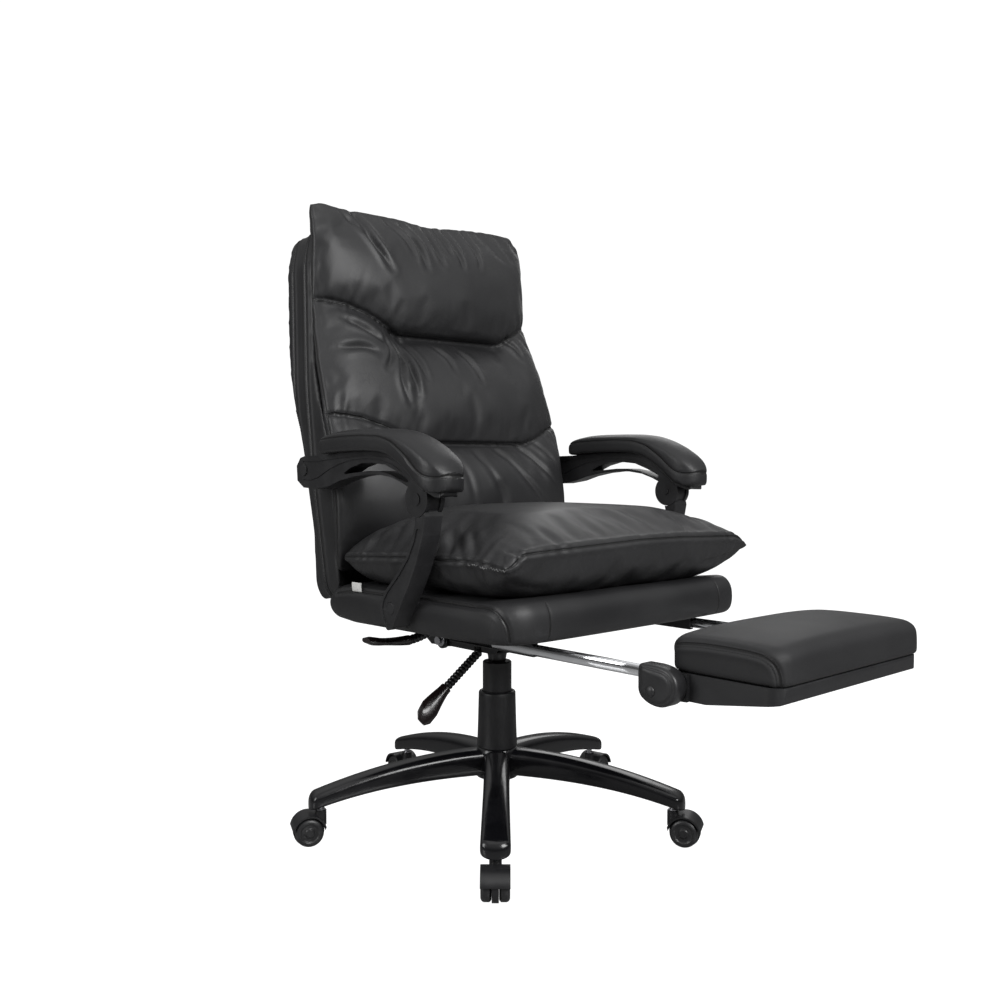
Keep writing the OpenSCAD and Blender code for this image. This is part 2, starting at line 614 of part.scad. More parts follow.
// Loose pillow, lofted from the front edge to the rear: deep crown, welted edge, pulled-out front corners
pillow_seam = pillow_z + 56;
pillow_steps = [0, 0.012, 0.05, 0.11, 0.2, 0.29, 0.4, 0.52, 0.64, 0.76, 0.87, 0.94, 0.985, 1];
function pillow_half(t) = along(t, [[0, seat_w / 2 + 18], [0.04, seat_w / 2 + 11], [0.29, seat_w / 2 - 0.5],
                                    [0.8, seat_w / 2 - 3], [0.95, seat_w / 2 - 12], [1, seat_w / 2 - 34]]);
function pillow_rise(t) = pow(max(0, 1 - pow(abs(2 * t - 1), 5)), 0.55);
function pillow_ring(t) =
    let (h = pillow_half(t), up = (pillow_z + pillow_t - pillow_seam) * max(0.1, pillow_rise(t)),
         low = (pillow_seam - pillow_z) * max(0.1, pillow_rise(t)))
    [for (i = [0 : 35]) let (a = 10 * i, c = cos(a), q = sin(a), x = h * sign(c) * pow(abs(c), 0.55))
        [x, -pillow_front + pillow_depth * t + 6 * (1 - t) * (1 - pow(abs(c), 2)) * (abs(q) > 0 ? 1 : 0),
         pillow_seam + (q > 0 ? up : low) * sign(q) * pow(abs(q), 0.85)]];
module seat_pillow() color(leather) loft([for (t = pillow_steps) pillow_ring(t)]);

module care_label() color(label_white)
    translate([-seat_w / 2 + 3, 32, seat_z + seat_base_h - 9]) cube([0.8, 28, 14]);

// ---------- back ----------

bracket_x = pan_w / 2 + air;
plate_w = 2 * bracket_x + 2 * bracket_t;
bracket_v = [34, 190];
bolt_v = [60, 165];
back_bolt_d = 8;
function from_back(q) = [back_root[1] + q[0] * cos(back_lean) + q[1] * sin(back_lean),
                         back_root[2] - q[0] * sin(back_lean) + q[1] * cos(back_lean)];

// Two steel arms from the recline axle, behind the seat and up into the back
module back_bracket() color(enamel) difference() {
    union() {
        for (s = [0, 1]) mirror([s, 0, 0]) side_plate(bracket_x, bracket_t) union() {
            offset(r = 3) offset(delta = -3) polygon(band([[recline_y - 4, recline_z], [recline_y + 28, recline_z - 2],
                [recline_y + 52, recline_z + 14], from_back([1, -20]), from_back([1, 60]), from_back([1, bracket_v[1]])], 9));
            translate([recline_y, recline_z]) circle(d = recline_axle_d + 16);
        }
        in_back_frame() translate([-plate_w / 2, board_rear, bracket_v[0]])
            cube([plate_w, bracket_t - 1, bracket_v[1] - bracket_v[0]]);
    }
    cross_pin(recline_y, recline_z, recline_axle_d + 2 * run, 400);
    back_bolt_places() cylinder(d = back_bolt_d, h = 60, center = true);
}

module back_bolt_places() {
    in_back_frame() for (x = [-30, 30], v = bolt_v) translate([x, board_rear, v]) rotate([90, 0, 0]) children();
}
module back_bolts() color(steel) back_bolt_places() {
    translate([0, 0, -bracket_t - 3]) cylinder(d = 14, h = 4);
    translate([0, 0, -bracket_t + 0.5]) cylinder(d = back_bolt_d, h = back_board_t + bracket_t - 1);
}

board_low = 24;
board_top = shell_l - 70;
module back_board() color(plywood) difference() {
    in_back_frame() translate([0, board_rear, 0]) rotate([90, 0, 0]) linear_extrude(back_board_t)
        offset(r = 30) offset(delta = -30) polygon([[-shell_w / 2 + 60, board_low], [shell_w / 2 - 60, board_low],
            [shell_top_w / 2 - 50, board_top], [-shell_top_w / 2 + 50, board_top]]);
    back_bolt_places() cylinder(d = back_bolt_d, h = 60, center = true);
}

// Shell: half width, front line and rear line as functions of the height up the back
shell_front = -55;
function shell_half(v) = along(v, [[-12, shell_w / 2 - 12], [20, shell_w / 2 - 4], [220, shell_w / 2], [380, shell_w / 2 - 4],
                                   [shell_l - 60, shell_top_w / 2 + 2], [shell_l, shell_top_w / 2 - 16]]);
function shell_rear(v) = shell_front + shell_t + along(v, [[-12, 0], [20, 9], [110, -4], [250, -5], [480, 11], [590, 6],
                                                          [shell_l - 24, -26], [shell_l, -52]]);
function shell_ring(v, shrink) =
    let (f = shell_front + shrink, r = shell_rear(v) - shrink, h = shell_half(v) - shrink, m = (f + r) / 2)
    [for (p = oval(2 * h, r - f, 6, 32)) [p[0], m + p[1], v]];
module back_shell() color(leather) difference() {
    in_back_frame() loft([for (q = [[-12, 14], [-4, 3], [8, 0], [60, 0], [110, 0], [180, 0], [250, 0], [330, 0], [410, 0], [480, 0],
        [540, 0], [590, 0], [shell_l - 48, 0], [shell_l - 24, 0], [shell_l - 8, 4], [shell_l, 12]]) shell_ring(q[0], q[1])]);
    // Pocket for the board and a slot, open below, for the bracket
    in_back_frame() translate([0, board_rear + air, 0]) rotate([90, 0, 0]) linear_extrude(back_board_t + 2 * air)
        offset(delta = air) offset(r = 30) offset(delta = -30)
            polygon([[-shell_w / 2 + 60, board_low], [shell_w / 2 - 60, board_low],
                [shell_top_w / 2 - 50, board_top], [-shell_top_w / 2 + 50, board_top]]);
    in_back_frame() translate([-plate_w / 2 - 1, board_rear - air, -30])
        cube([plate_w + 2, 20, bracket_v[1] + 32]);
}

// Back pillow in three crowned panels between two deep creases
crease_low = 272;
crease_top = 488;
function panel(v) = v < crease_low ? [v, 34, crease_low] : v < crease_top ? [v, crease_low, crease_top] : [v, crease_top, back_pillow_l + 30];
function puff(v) = let (p = panel(v), t = 2 * (p[0] - p[1]) / (p[2] - p[1]) - 1) swell(t, 2.6);
function pillow_face(v) = along(v, [[34, 40], [150, 74], [crease_low, 52], [crease_top, 14], [600, 20], [712, 12]]);
function back_half(v) = shell_w / 2 + along(v, [[34, -10], [120, 5], [300, 8], [400, 3], [515, -10], [712, -16]]);
function back_ring(v) =
    let (h = back_half(v), d = 14 + (pillow_face(v) + 14) * (0.42 + 0.58 * puff(v)), b = shell_front - air)
    concat([[h - 10, b, v], [0, b - 0.01, v], [10 - h, b, v]],
        [for (i = [1 : 19]) let (a = 9 * i, c = -cos(a)) [h * sign(c) * pow(abs(c), 0.5), b - 6 - d * pow(sin(a), 0.7), v]]);
function pulled_in(ring, k) = let (c = middle(ring)) [for (p = ring) [c[0] + (p[0] - c[0]) * (1 - k / 10), c[1] + (p[1] - c[1]) * (1 - k), p[2]]];
module back_pillow() color(leather) in_back_frame()
    loft([for (v = [34, 46, 80, 130, 180, 230, 250, crease_low - 10, crease_low - 1, crease_low + 12, 310, 350, 395, 440, crease_top - 12,
                    crease_top - 1, crease_top + 12, 520, 560, 610, 655, 688, 704, 712])
        v < 40 || v > 705 ? pulled_in(back_ring(v), 0.3) : back_ring(v)]);

// ---------- arms (drawn for the right side, mirrored for the left) ----------

fork_t = 8;
barrel_gap = 0.4;

pivot_plate = 3;
module arm_pivot(left) mirrored_if(left) color(steel) {
    // Plate on the seat's side with a boss out to the arm, the fixed pin and its washer
    side_plate(-seat_w / 2 - pivot_plate, pivot_plate)
        translate(seat_pivot) offset(r = 8) square([44, 40], center = true);
    cross_pin(seat_pivot[0], seat_pivot[1], seat_pin_d + 4, arm_inner - air - seat_w / 2 - 1, -arm_inner + air);
    cross_pin(seat_pivot[0], seat_pivot[1], seat_pin_d, arm_w + air - 4, -arm_inner - arm_w + 4);
    cross_pin(seat_pivot[0], seat_pivot[1], seat_pin_d + 6, 3, -arm_inner - arm_w + 1.5);
}

// Curved blade from the barrel down to the seat pivot, dished on its outer face
function upright_rear() = [[barrel[0] + 8, barrel[1] - 10], [-166, seat_z + 178], [-158, seat_z + 152], [-143, seat_z + 124],
    [-119, seat_z + 96], [-90, seat_z + 68], [-77, seat_z + 50], [-74, seat_z + 36], [-80, seat_z + 14], [-94, seat_z + 2],
    [-106, seat_z + 8]];
function upright_front() = [[-124, seat_z + 40], [-147, seat_z + 76], [-166, seat_z + 112], [-184, seat_z + 158],
    [-190, seat_z + 188], [barrel[0] - 20, barrel[1] - 16]];
dish_depth = 2;
dish_rim = 5;
module upright(left) mirrored_if(left) color(plastic) difference() {
    union() {
        side_plate(-arm_inner - arm_w, arm_w) offset(r = 6) offset(delta = -6)
            polygon(concat(upright_rear(), upright_front()));
        cross_pin(barrel[0], barrel[1], barrel_d - 5, arm_w - 2 * fork_t - 2 * barrel_gap, -arm_inner - arm_w + fork_t + barrel_gap);
    }
    cross_pin(barrel[0], barrel[1], barrel_pin_d + 2 * run, arm_w + 2, -arm_inner - arm_w - 1);
    cross_pin(seat_pivot[0], seat_pivot[1], seat_pin_d + 2 * run, arm_w + 2, -arm_inner - arm_w - 1);
    cross_pin(seat_pivot[0], seat_pivot[1], seat_pin_d + 7, 5.5, -arm_inner - arm_w - 1);
    // Dish that leaves a rim along the blade's edges
    side_plate(-arm_inner - arm_w - 1, 1 + dish_depth) offset(r = 4) offset(delta = -4 - dish_rim) intersection() {
        polygon(concat(upright_rear(), upright_front()));
        translate([-200, seat_z - 10]) square([160, 184]);
    }
    // Room for the arm's fork discs
    for (x0 = [-arm_inner - arm_w - 1, -arm_inner - fork_t - barrel_gap])
        cross_pin(barrel[0], barrel[1], barrel_d + 2, fork_t + barrel_gap + 1, x0);
}

// Arm bar: rear plate, arched beam under the pad, lower strut and the fork round the barrel
function bar_top() = [[172, 672], [160, 686], [142, 690], [115, 690], [80, 691], [40, 694], [0, 696], [-50, 697], [-95, 695],
                      [-115, 691], [-132, 685], [-150, 675], [-167, 664], [-185, 649], [-200, 638], [-215, 633], [-232, 632], [-243, 635]];
bar_base = 408;
function raised(pts) = [for (p = pts) [p[0], p[1] - bar_base + seat_z]];
// Grooves that part the bar's flowing ribs, on both faces
groove_upper = [[152, 679], [106, 679], [61, 683], [0, 688], [-57, 690], [-96, 687], [-125, 679], [-150, 664], [-172, 648], [-190, 634]];
groove_lower = [[150, 648], [130, 646], [106, 651], [72, 665], [38, 675], [0, 682], [-42, 684.5], [-78, 682.5], [-108, 676], [-134, 664]];
groove_half = 1.1;
groove_depth = 1.4;
module arm_bar_side() {
    difference() {
        union() {
            offset(r = 2) offset(delta = -2) polygon(raised(concat(bar_top(),
                [[-251, 634], [-246, 628], [-232, 625], [-212, 627], [-192, 634], [-168, 648], [-147, 641], [-133, 647], [-107, 655], [-75, 659],
                 [-41, 659], [0, 655], [38, 648], [72, 638], [110, 632], [150, 634], [170, 646]])));
            translate(barrel) circle(d = barrel_d);
        }
        // See-through slot between the beam and the strut
        offset(r = 2) offset(delta = -2) polygon(raised([[36, 657], [5, 670], [-25, 677], [-55, 678], [-90, 675], [-122, 664],
            [-147, 653], [-149, 647], [-124, 653], [-102, 660], [-72, 664.5], [-41, 664.5], [0, 661]]));
    }
}
module arm_bar(left) mirrored_if(left) color(plastic) difference() {
    intersection() {
        side_plate(-arm_inner - arm_w, arm_w) arm_bar_side();
        // Tip rounded in plan, as the pad's nose is
        translate([0, 0, seat_z]) linear_extrude(2 * arm_w + pad_crown(0)) offset(r = arm_w * 0.45) offset(delta = -arm_w * 0.45)
            translate([-arm_inner - arm_w, pad_front + 1]) square([arm_w, rear_pivot[0] - pad_front + 60]);
    }
    cross_pin(barrel[0], barrel[1], barrel_d + 1, arm_w - 2 * fork_t, -arm_inner - arm_w + fork_t);
    cross_pin(barrel[0], barrel[1], barrel_pin_d, arm_w + 2, -arm_inner - arm_w - 1);
    cross_pin(rear_pivot[0], rear_pivot[1], rear_bolt_d, arm_w + 2, -arm_inner - arm_w - 1);
    for (x0 = [-arm_inner - arm_w - 1, -arm_inner - groove_depth], line = [groove_upper, groove_lower])
        side_plate(x0, groove_depth + 1) polygon(band(raised(line), groove_half));
}
module barrel_pin(left) mirrored_if(left) color(plastic) {
    cross_pin(barrel[0], barrel[1], barrel_pin_d, arm_w + 4, -arm_inner - arm_w - 2);
    cross_pin(barrel[0], barrel[1], barrel_pin_d + 8, 2, -arm_inner - arm_w - 2);
}
module rear_bolt(left) mirrored_if(left) color(plastic) {
    cross_pin(rear_pivot[0], rear_pivot[1], rear_bolt_d, arm_w + 1, -arm_inner - arm_w);
    cross_pin(rear_pivot[0], rear_pivot[1], rear_bolt_d + 8, 3, -arm_inner - arm_w - 3);
}

// Padded arm top: crowned across, with a blunt nose that curls down over the bar's front end
function pad_base(y) = along(y, reversed(raised(bar_top()))) + air + 16 * pow(max(0, pad_front + 18 - y) / 18, 2);
function pad_crown(y) = pad_t - 35 + along(y, reversed(raised([[84, 708], [78, 717], [62, 725], [30, 730], [0, 732], [-60, 732],
    [-100, 731], [-130, 727], [-160, 718], [-186, 707], [-210, 694], [-224, 684], [-232, 675], [-240, 659]])));
pad_front = -240;
pad_rear = 84;
function pad_half(y) = pad_w / 2 * (y < pad_front + 42 ? swell((pad_front + 42 - y) / 42.6, 2.2)
    : y > pad_rear - 18 ? swell((y - pad_rear + 18) / 18.6, 2.4) : 1);
pad_stations = concat([pad_rear, 81, 76, 68], [for (q = bar_top()) if (q[0] < 60 && q[0] > -215) q[0]], [-215, -223, -229, -234, -238, pad_front]);
function pad_ring(y) =
    let (w = max(5, pad_half(y)), z = pad_base(y), t = pad_crown(y) - z)
    concat([[-arm_mid + w - 4, y, z], [-arm_mid, y, z - 0.01], [-arm_mid - w + 4, y, z]],
        [for (i = [1 : 13]) let (a = 180 * i / 14, c = -cos(a))
            [-arm_mid + w * sign(c) * pow(abs(c), 0.45), y, z + 4 + (t - 4) * pow(sin(a), 0.5)]]);
module arm_pad(left) mirrored_if(left) color(leather) loft([for (y = pad_stations) pad_ring(y)]);

// ---------- footrest ----------

guide_front = seat_front - 45;
guide_rear = seat_front - 245;
lip = 2.5;
bracket_w = 20;
bracket_x0 = rail_x - rail_w / 2 - 1;

// Channel under the seat board, open on its outer side
module rail_guide(left) mirrored_if(left) color(plastic) difference() {
    translate([-rail_x - rail_w / 2 - 2, -guide_front, rail_z - air - lip])
        cube([rail_w + 2 + air + lip + 1, guide_front - guide_rear, seat_z - rail_z + air + lip]);
    translate([-rail_x - rail_w - 20, -guide_front - 1, rail_z - air])
        cube([rail_w * 1.5 + 20 + air, guide_front - guide_rear + 2, rail_h + 2 * air]);
    translate([-rail_x - rail_w - 20, -guide_front - 1, rail_z - 10])
        cube([rail_w + 20, guide_front - guide_rear + 2, 12]);
}

module rail(left) mirrored_if(left) color(chrome) difference() {
    translate([-rail_x - rail_w / 2, -hinge_y + 15, rail_z]) cube([rail_w, rail_l, rail_h]);
    translate([-rail_x - rail_w / 2 + rail_wall, -hinge_y + 14, rail_z + rail_wall])
        cube([rail_w - 2 * rail_wall, rail_l + 2, rail_h - 2 * rail_wall]);
}

// D-shaped hinge housing on each rail's end with the fixed pin through it
module hinge_bracket(left) mirrored_if(left) color(plastic) {
    difference() {
        union() {
            side_plate(-bracket_x0 - bracket_w, bracket_w) hinge_outline(0);
            side_plate(-bracket_x0 - bracket_w - 2, 3) hinge_outline(7);
        }
        translate([-rail_x - rail_w / 2, -hinge_y + 15, rail_z]) cube([rail_w, 60, rail_h]);
    }
    cross_pin(-hinge_y, hinge_z, hinge_pin_d, 20 + bracket_w, -bracket_x0 - bracket_w);
    cross_pin(-hinge_y, hinge_z, 13, 3, -bracket_x0 - bracket_w - 4);
}
module hinge_outline(inset) {
    offset(r = -inset) offset(r = 5) offset(delta = -5) polygon(concat(
        [[-hinge_y + 26, hinge_z + 35], [-hinge_y + 26, hinge_z - 9], [-hinge_y + 8, hinge_z - 20]],
        [for (a = [-90 : 15 : 60]) [-hinge_y - 6 - 24 * cos(a), hinge_z + 4 + 26 * sin(a)]],
        [[-hinge_y - 8, hinge_z + 35]]));
}

// Tray with a knuckle at each rear corner
tray_half = foot_w / 2 - 2;
knuckle_w = bracket_x0 - air - tray_half + 7.3;
module footrest_tray() color(plastic) difference() {
    union() {
        intersection() {
            side_plate(-tray_half, 2 * tray_half) offset(r = 3) offset(delta = -3)
                polygon([[-foot_rear - 4, foot_z - 12], [-foot_rear - 26, hinge_z - 13], [-foot_rear - 62, hinge_z - 13],
                         [-foot_rear - foot_depth + 8, foot_z - 22], [-foot_rear - foot_depth + 4, foot_z], [-foot_rear - 4, foot_z]]);
            translate([0, 0, hinge_z - 40]) linear_extrude(100) offset(r = 24) offset(delta = -24)
                translate([-tray_half, -foot_rear - foot_depth + 4]) square([2 * tray_half, foot_depth + 40]);
        }
        for (s = [0, 1]) mirror([s, 0, 0]) side_plate(-bracket_x0 + air, knuckle_w) union() {
            translate([-hinge_y, hinge_z]) circle(d = 30);
            polygon([[-hinge_y, hinge_z - 14.9], [-hinge_y, hinge_z + 14], [-hinge_y - 4, foot_z], [-hinge_y - 40, foot_z],
                     [-hinge_y - 40, hinge_z - 13]]);
        }
    }
    cross_pin(-hinge_y, hinge_z, hinge_pin_d + 2 * run, 3 * foot_w);
}

function foot_ring(x) =
    let (t = x / (foot_w / 2), s = swell(t, 9), half = foot_depth / 2 * (0.94 + 0.06 * s), mid = -foot_rear - foot_depth / 2,
         top = foot_t * (0.84 + 0.16 * swell(t, 2)) * (0.5 + 0.5 * s))
    concat([[x, mid + half - 5, foot_z + air], [x, mid, foot_z + air - 0.01], [x, mid - half + 5, foot_z + air]],
        [for (i = [1 : 19]) let (a = 9 * i, c = -cos(a))
            [x, mid + half * sign(c) * pow(abs(c), 0.45), foot_z + air + 5 + (top - 5 - (c < 0 ? 0 : 4 * c)) * pow(sin(a), 0.5)]]);
module footrest_pad() color(leather)
    loft([for (t = [-1, -0.985, -0.95, -0.85, -0.6, -0.3, 0, 0.3, 0.6, 0.85, 0.95, 0.985, 1]) foot_ring(foot_w / 2 * t)]);

// ---------- the whole chair ----------

star_base();
lower_sleeve();
lift_tube();
thrust_bearing();
caster_stem(1);  // caster_stem_1
caster_stem(2);  // caster_stem_2
caster_stem(3);  // caster_stem_3
caster_stem(4);  // caster_stem_4
caster_stem(5);  // caster_stem_5
caster_hood(1);  // caster_hood_1
caster_hood(2);  // caster_hood_2
caster_hood(3);  // caster_hood_3
caster_hood(4);  // caster_hood_4
caster_hood(5);  // caster_hood_5
caster_wheels(1);  // caster_wheels_1
caster_wheels(2);  // caster_wheels_2
caster_wheels(3);  // caster_wheels_3
caster_wheels(4);  // caster_wheels_4
caster_wheels(5);  // caster_wheels_5
piston_rod();
gas_cylinder();
valve_pin();
upper_sleeve();
mechanism_pan();
mechanism_bolts();
recline_axle();
return_spring();
height_lever_rod();
height_lever_paddle();
recline_lever_rod();
recline_lever_paddle();
seat_board();
seat_base();
seat_pillow();
care_label();
back_bracket();
back_bolts();
back_board();
back_shell();
back_pillow();
arm_pivot(false);  // right_arm_pivot
arm_pivot(true);  // left_arm_pivot
upright(false);  // right_upright
upright(true);  // left_upright
arm_bar(false);  // right_arm_bar
arm_bar(true);  // left_arm_bar
barrel_pin(false);  // right_barrel_pin
barrel_pin(true);  // left_barrel_pin
rear_bolt(false);  // right_rear_bolt
rear_bolt(true);  // left_rear_bolt
arm_pad(false);  // right_arm_pad
arm_pad(true);  // left_arm_pad
rail_guide(false);  // right_rail_guide
rail_guide(true);  // left_rail_guide
rail(false);  // right_rail
rail(true);  // left_rail
hinge_bracket(false);  // right_hinge_bracket
hinge_bracket(true);  // left_hinge_bracket
footrest_tray();
footrest_pad();
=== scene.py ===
import json
import math
import random

import bmesh
import bpy
import numpy as np
from mathutils import Matrix, Vector
from mathutils.bvhtree import BVHTree

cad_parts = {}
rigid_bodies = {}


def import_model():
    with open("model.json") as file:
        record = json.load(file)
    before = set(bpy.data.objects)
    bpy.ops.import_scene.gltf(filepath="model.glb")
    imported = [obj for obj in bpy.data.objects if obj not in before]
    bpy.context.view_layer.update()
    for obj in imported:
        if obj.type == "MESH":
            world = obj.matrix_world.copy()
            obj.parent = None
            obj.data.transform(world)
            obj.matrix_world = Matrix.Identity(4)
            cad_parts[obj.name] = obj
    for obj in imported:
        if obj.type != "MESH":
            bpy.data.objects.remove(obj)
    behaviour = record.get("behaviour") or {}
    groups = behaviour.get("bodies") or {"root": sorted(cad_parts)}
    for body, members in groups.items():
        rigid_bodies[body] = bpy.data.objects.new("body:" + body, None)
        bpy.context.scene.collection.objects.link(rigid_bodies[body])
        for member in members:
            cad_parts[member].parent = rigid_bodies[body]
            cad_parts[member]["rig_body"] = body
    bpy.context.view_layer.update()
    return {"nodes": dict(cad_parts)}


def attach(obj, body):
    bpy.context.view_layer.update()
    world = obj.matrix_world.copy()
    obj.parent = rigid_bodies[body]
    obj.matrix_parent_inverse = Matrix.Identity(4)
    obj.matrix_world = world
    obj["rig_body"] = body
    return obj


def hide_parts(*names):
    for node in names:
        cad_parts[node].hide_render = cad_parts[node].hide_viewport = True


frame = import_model()
nodes = frame["nodes"]
print("frame loaded:", len(nodes), "nodes")

backLean = math.radians(9)              # lean of the back from upright
backRoot = Vector((0, 0.190, 0.440))    # where the back's own frame starts
weldReach = 0.00002                     # vertices nearer than this are merged


def fromBack(x, y, v):
    # x across, y rearward of the back's own plane, v up the back
    c, s = math.cos(backLean), math.sin(backLean)
    return backRoot + Vector((x, y * c + v * s, v * c - y * s))


def dress(piece, material, body, slot, standsFor=()):
    if piece.name not in bpy.context.scene.collection.objects:
        bpy.context.scene.collection.objects.link(piece)
    piece.data.shade_smooth()
    piece.data.materials.clear()
    piece.data.materials.append(material)
    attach(piece, body)
    if standsFor:
        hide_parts(*standsFor)


def meshPiece(name, bm, recalculate=True):
    if recalculate:
        bmesh.ops.recalc_face_normals(bm, faces=bm.faces)
    mesh = bpy.data.meshes.new(name)
    bm.to_mesh(mesh)
    bm.free()
    piece = bpy.data.objects.new(name, mesh)
    bpy.context.scene.collection.objects.link(piece)
    return piece


def readPoints(mesh):
    flat = np.empty(len(mesh.vertices) * 3)
    mesh.vertices.foreach_get("co", flat)
    return flat.reshape(-1, 3)


def readNormals(mesh):
    flat = np.empty(len(mesh.vertices) * 3)
    mesh.vertex_normals.foreach_get("vector", flat)
    return flat.reshape(-1, 3)


def readShape(piece):
    return readPoints(piece.data), readNormals(piece.data)


def writePoints(mesh, points):
    mesh.vertices.foreach_set("co", points.ravel())
    mesh.update()


def bake(piece):
    # applies the piece's modifiers to its mesh
    graph = bpy.context.evaluated_depsgraph_get()
    mesh = bpy.data.meshes.new_from_object(piece.evaluated_get(graph))
    piece.modifiers.clear()
    old = piece.data
    piece.data = mesh
    bpy.data.meshes.remove(old)


def remesh(piece, size):
    modifier = piece.modifiers.new("remesh", "REMESH")
    modifier.mode = "VOXEL"
    modifier.voxel_size = size
    modifier.use_smooth_shade = True
    bake(piece)


def subdivide(piece):
    modifier = piece.modifiers.new("subdivide", "SUBSURF")
    modifier.levels = modifier.render_levels = 1
    bake(piece)


def smoothPath(points, perSpan=8):
    # Catmull-Rom curve through the points
    pts = [Vector(p) for p in points]
    ends = [pts[0] * 2 - pts[1]] + pts + [pts[-1] * 2 - pts[-2]]
    path = []
    for a, b, c, d in zip(ends, ends[1:], ends[2:], ends[3:]):
        for k in range(perSpan):
            t = k / perSpan
            path.append(((b * 2) + (c - a) * t + (a * 2 - b * 5 + c * 4 - d) * t ** 2
                         + (b * 3 - a - c * 3 + d) * t ** 3) / 2)
    return path + [pts[-1]]


def evenPath(path, pitch):
    # points a pitch apart along a path, with the direction at each
    spots = []
    left = 0.0
    for a, b in zip(path, path[1:]):
        length = (b - a).length
        while left <= length and length > 0:
            spots.append((a.lerp(b, left / length), (b - a).normalized()))
            left += pitch
        left -= length
    return spots


def skin(rings):
    # extrudes a ring of vertices through the given rings and closes both ends
    bm = bmesh.new()
    current = bmesh.ops.create_circle(bm, cap_ends=False, radius=1, segments=len(rings[0]))["verts"]
    for vert, place in zip(current, rings[0]):
        vert.co = place
    bmesh.ops.contextual_create(bm, geom=list(current))
    for ring in rings[1:]:
        pairs = zip(current, current[1:] + current[:1])
        edges = [bm.edges.get(pair) for pair in pairs]
        made = set(bmesh.ops.extrude_edge_only(bm, edges=edges)["geom"])
        current = [next(e.other_vert(v) for e in v.link_edges if e.other_vert(v) in made) for v in current]
        for vert, place in zip(current, ring):
            vert.co = place
    bmesh.ops.contextual_create(bm, geom=list(current))
    return bm


def tubeRings(path, radius, sides, up):
    # rings round a path: radius(t) for t from 0 to 1, and up is never along the path
    rings = []
    up = Vector(up)
    for i, p in enumerate(path):
        ahead = path[min(i + 1, len(path) - 1)] - path[max(i - 1, 0)]
        side = ahead.cross(up).normalized()
        rise = side.cross(ahead).normalized()
        r = radius(i / (len(path) - 1))
        rings.append([p + side * math.cos(a) * r + rise * math.sin(a) * r
                      for a in (2 * math.pi * k / sides for k in range(sides))])
    return rings


def bevelEdges(piece, width, segments):
    sharp = math.radians(30)
    piece.data.set_sharp_from_angle(angle=sharp)
    modifier = piece.modifiers.new("edges", "BEVEL")
    modifier.width = width
    modifier.segments = segments
    modifier.limit_method = "ANGLE"
    modifier.angle_limit = sharp
    modifier.harden_normals = True


def softenedCopy(name, width, material, slot, segments=2):
    # a CAD piece with its edges rounded over
    bm = bmesh.new()
    bm.from_mesh(nodes[name].data)
    bmesh.ops.remove_doubles(bm, verts=bm.verts, dist=weldReach)
    bmesh.ops.dissolve_limit(bm, angle_limit=math.radians(0.3), verts=bm.verts, edges=bm.edges)
    piece = meshPiece(name + "_finished", bm)
    dress(piece, material, nodes[name]["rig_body"], slot, [name])
    bevelEdges(piece, width, segments)


def newNode(tree, kind, values=None, **settings):
    node = tree.nodes.new(kind)
    for key, value in settings.items():
        setattr(node, key, value)
    for key, value in (values or {}).items():
        node.inputs[key].default_value = value
    return node


def newGroup(name, inputs, outputs):
    group = bpy.data.node_groups.new(name, "ShaderNodeTree")
    for label, kind, value in inputs:
        socket = group.interface.new_socket(label, in_out="INPUT", socket_type=kind)
        if value is not None:
            socket.default_value = value
    for label in outputs:
        group.interface.new_socket(label, in_out="OUTPUT", socket_type="NodeSocketFloat")
    return group, group.nodes.new("NodeGroupInput"), group.nodes.new("NodeGroupOutput")


def grainInputs(scale):
    return [("Place", "NodeSocketVector", None), ("Scale", "NodeSocketFloat", scale)]


def sums(tree, operation, a, b):
    # a Math node; a and b are sockets or numbers
    node = newNode(tree, "ShaderNodeMath", operation=operation)
    for place, value in ((0, a), (1, b)):
        if isinstance(value, (int, float)):
            node.inputs[place].default_value = value
        else:
            tree.links.new(value, node.inputs[place])
    return node.outputs[0]


def ramp(tree, socket, low, high, toLow=0.0, toHigh=1.0):
    node = newNode(tree, "ShaderNodeMapRange", interpolation_type="SMOOTHSTEP")
    for place, value in zip(("From Min", "From Max", "To Min", "To Max"), (low, high, toLow, toHigh)):
        node.inputs[place].default_value = value
    tree.links.new(socket, node.inputs["Value"])
    return node.outputs["Result"]


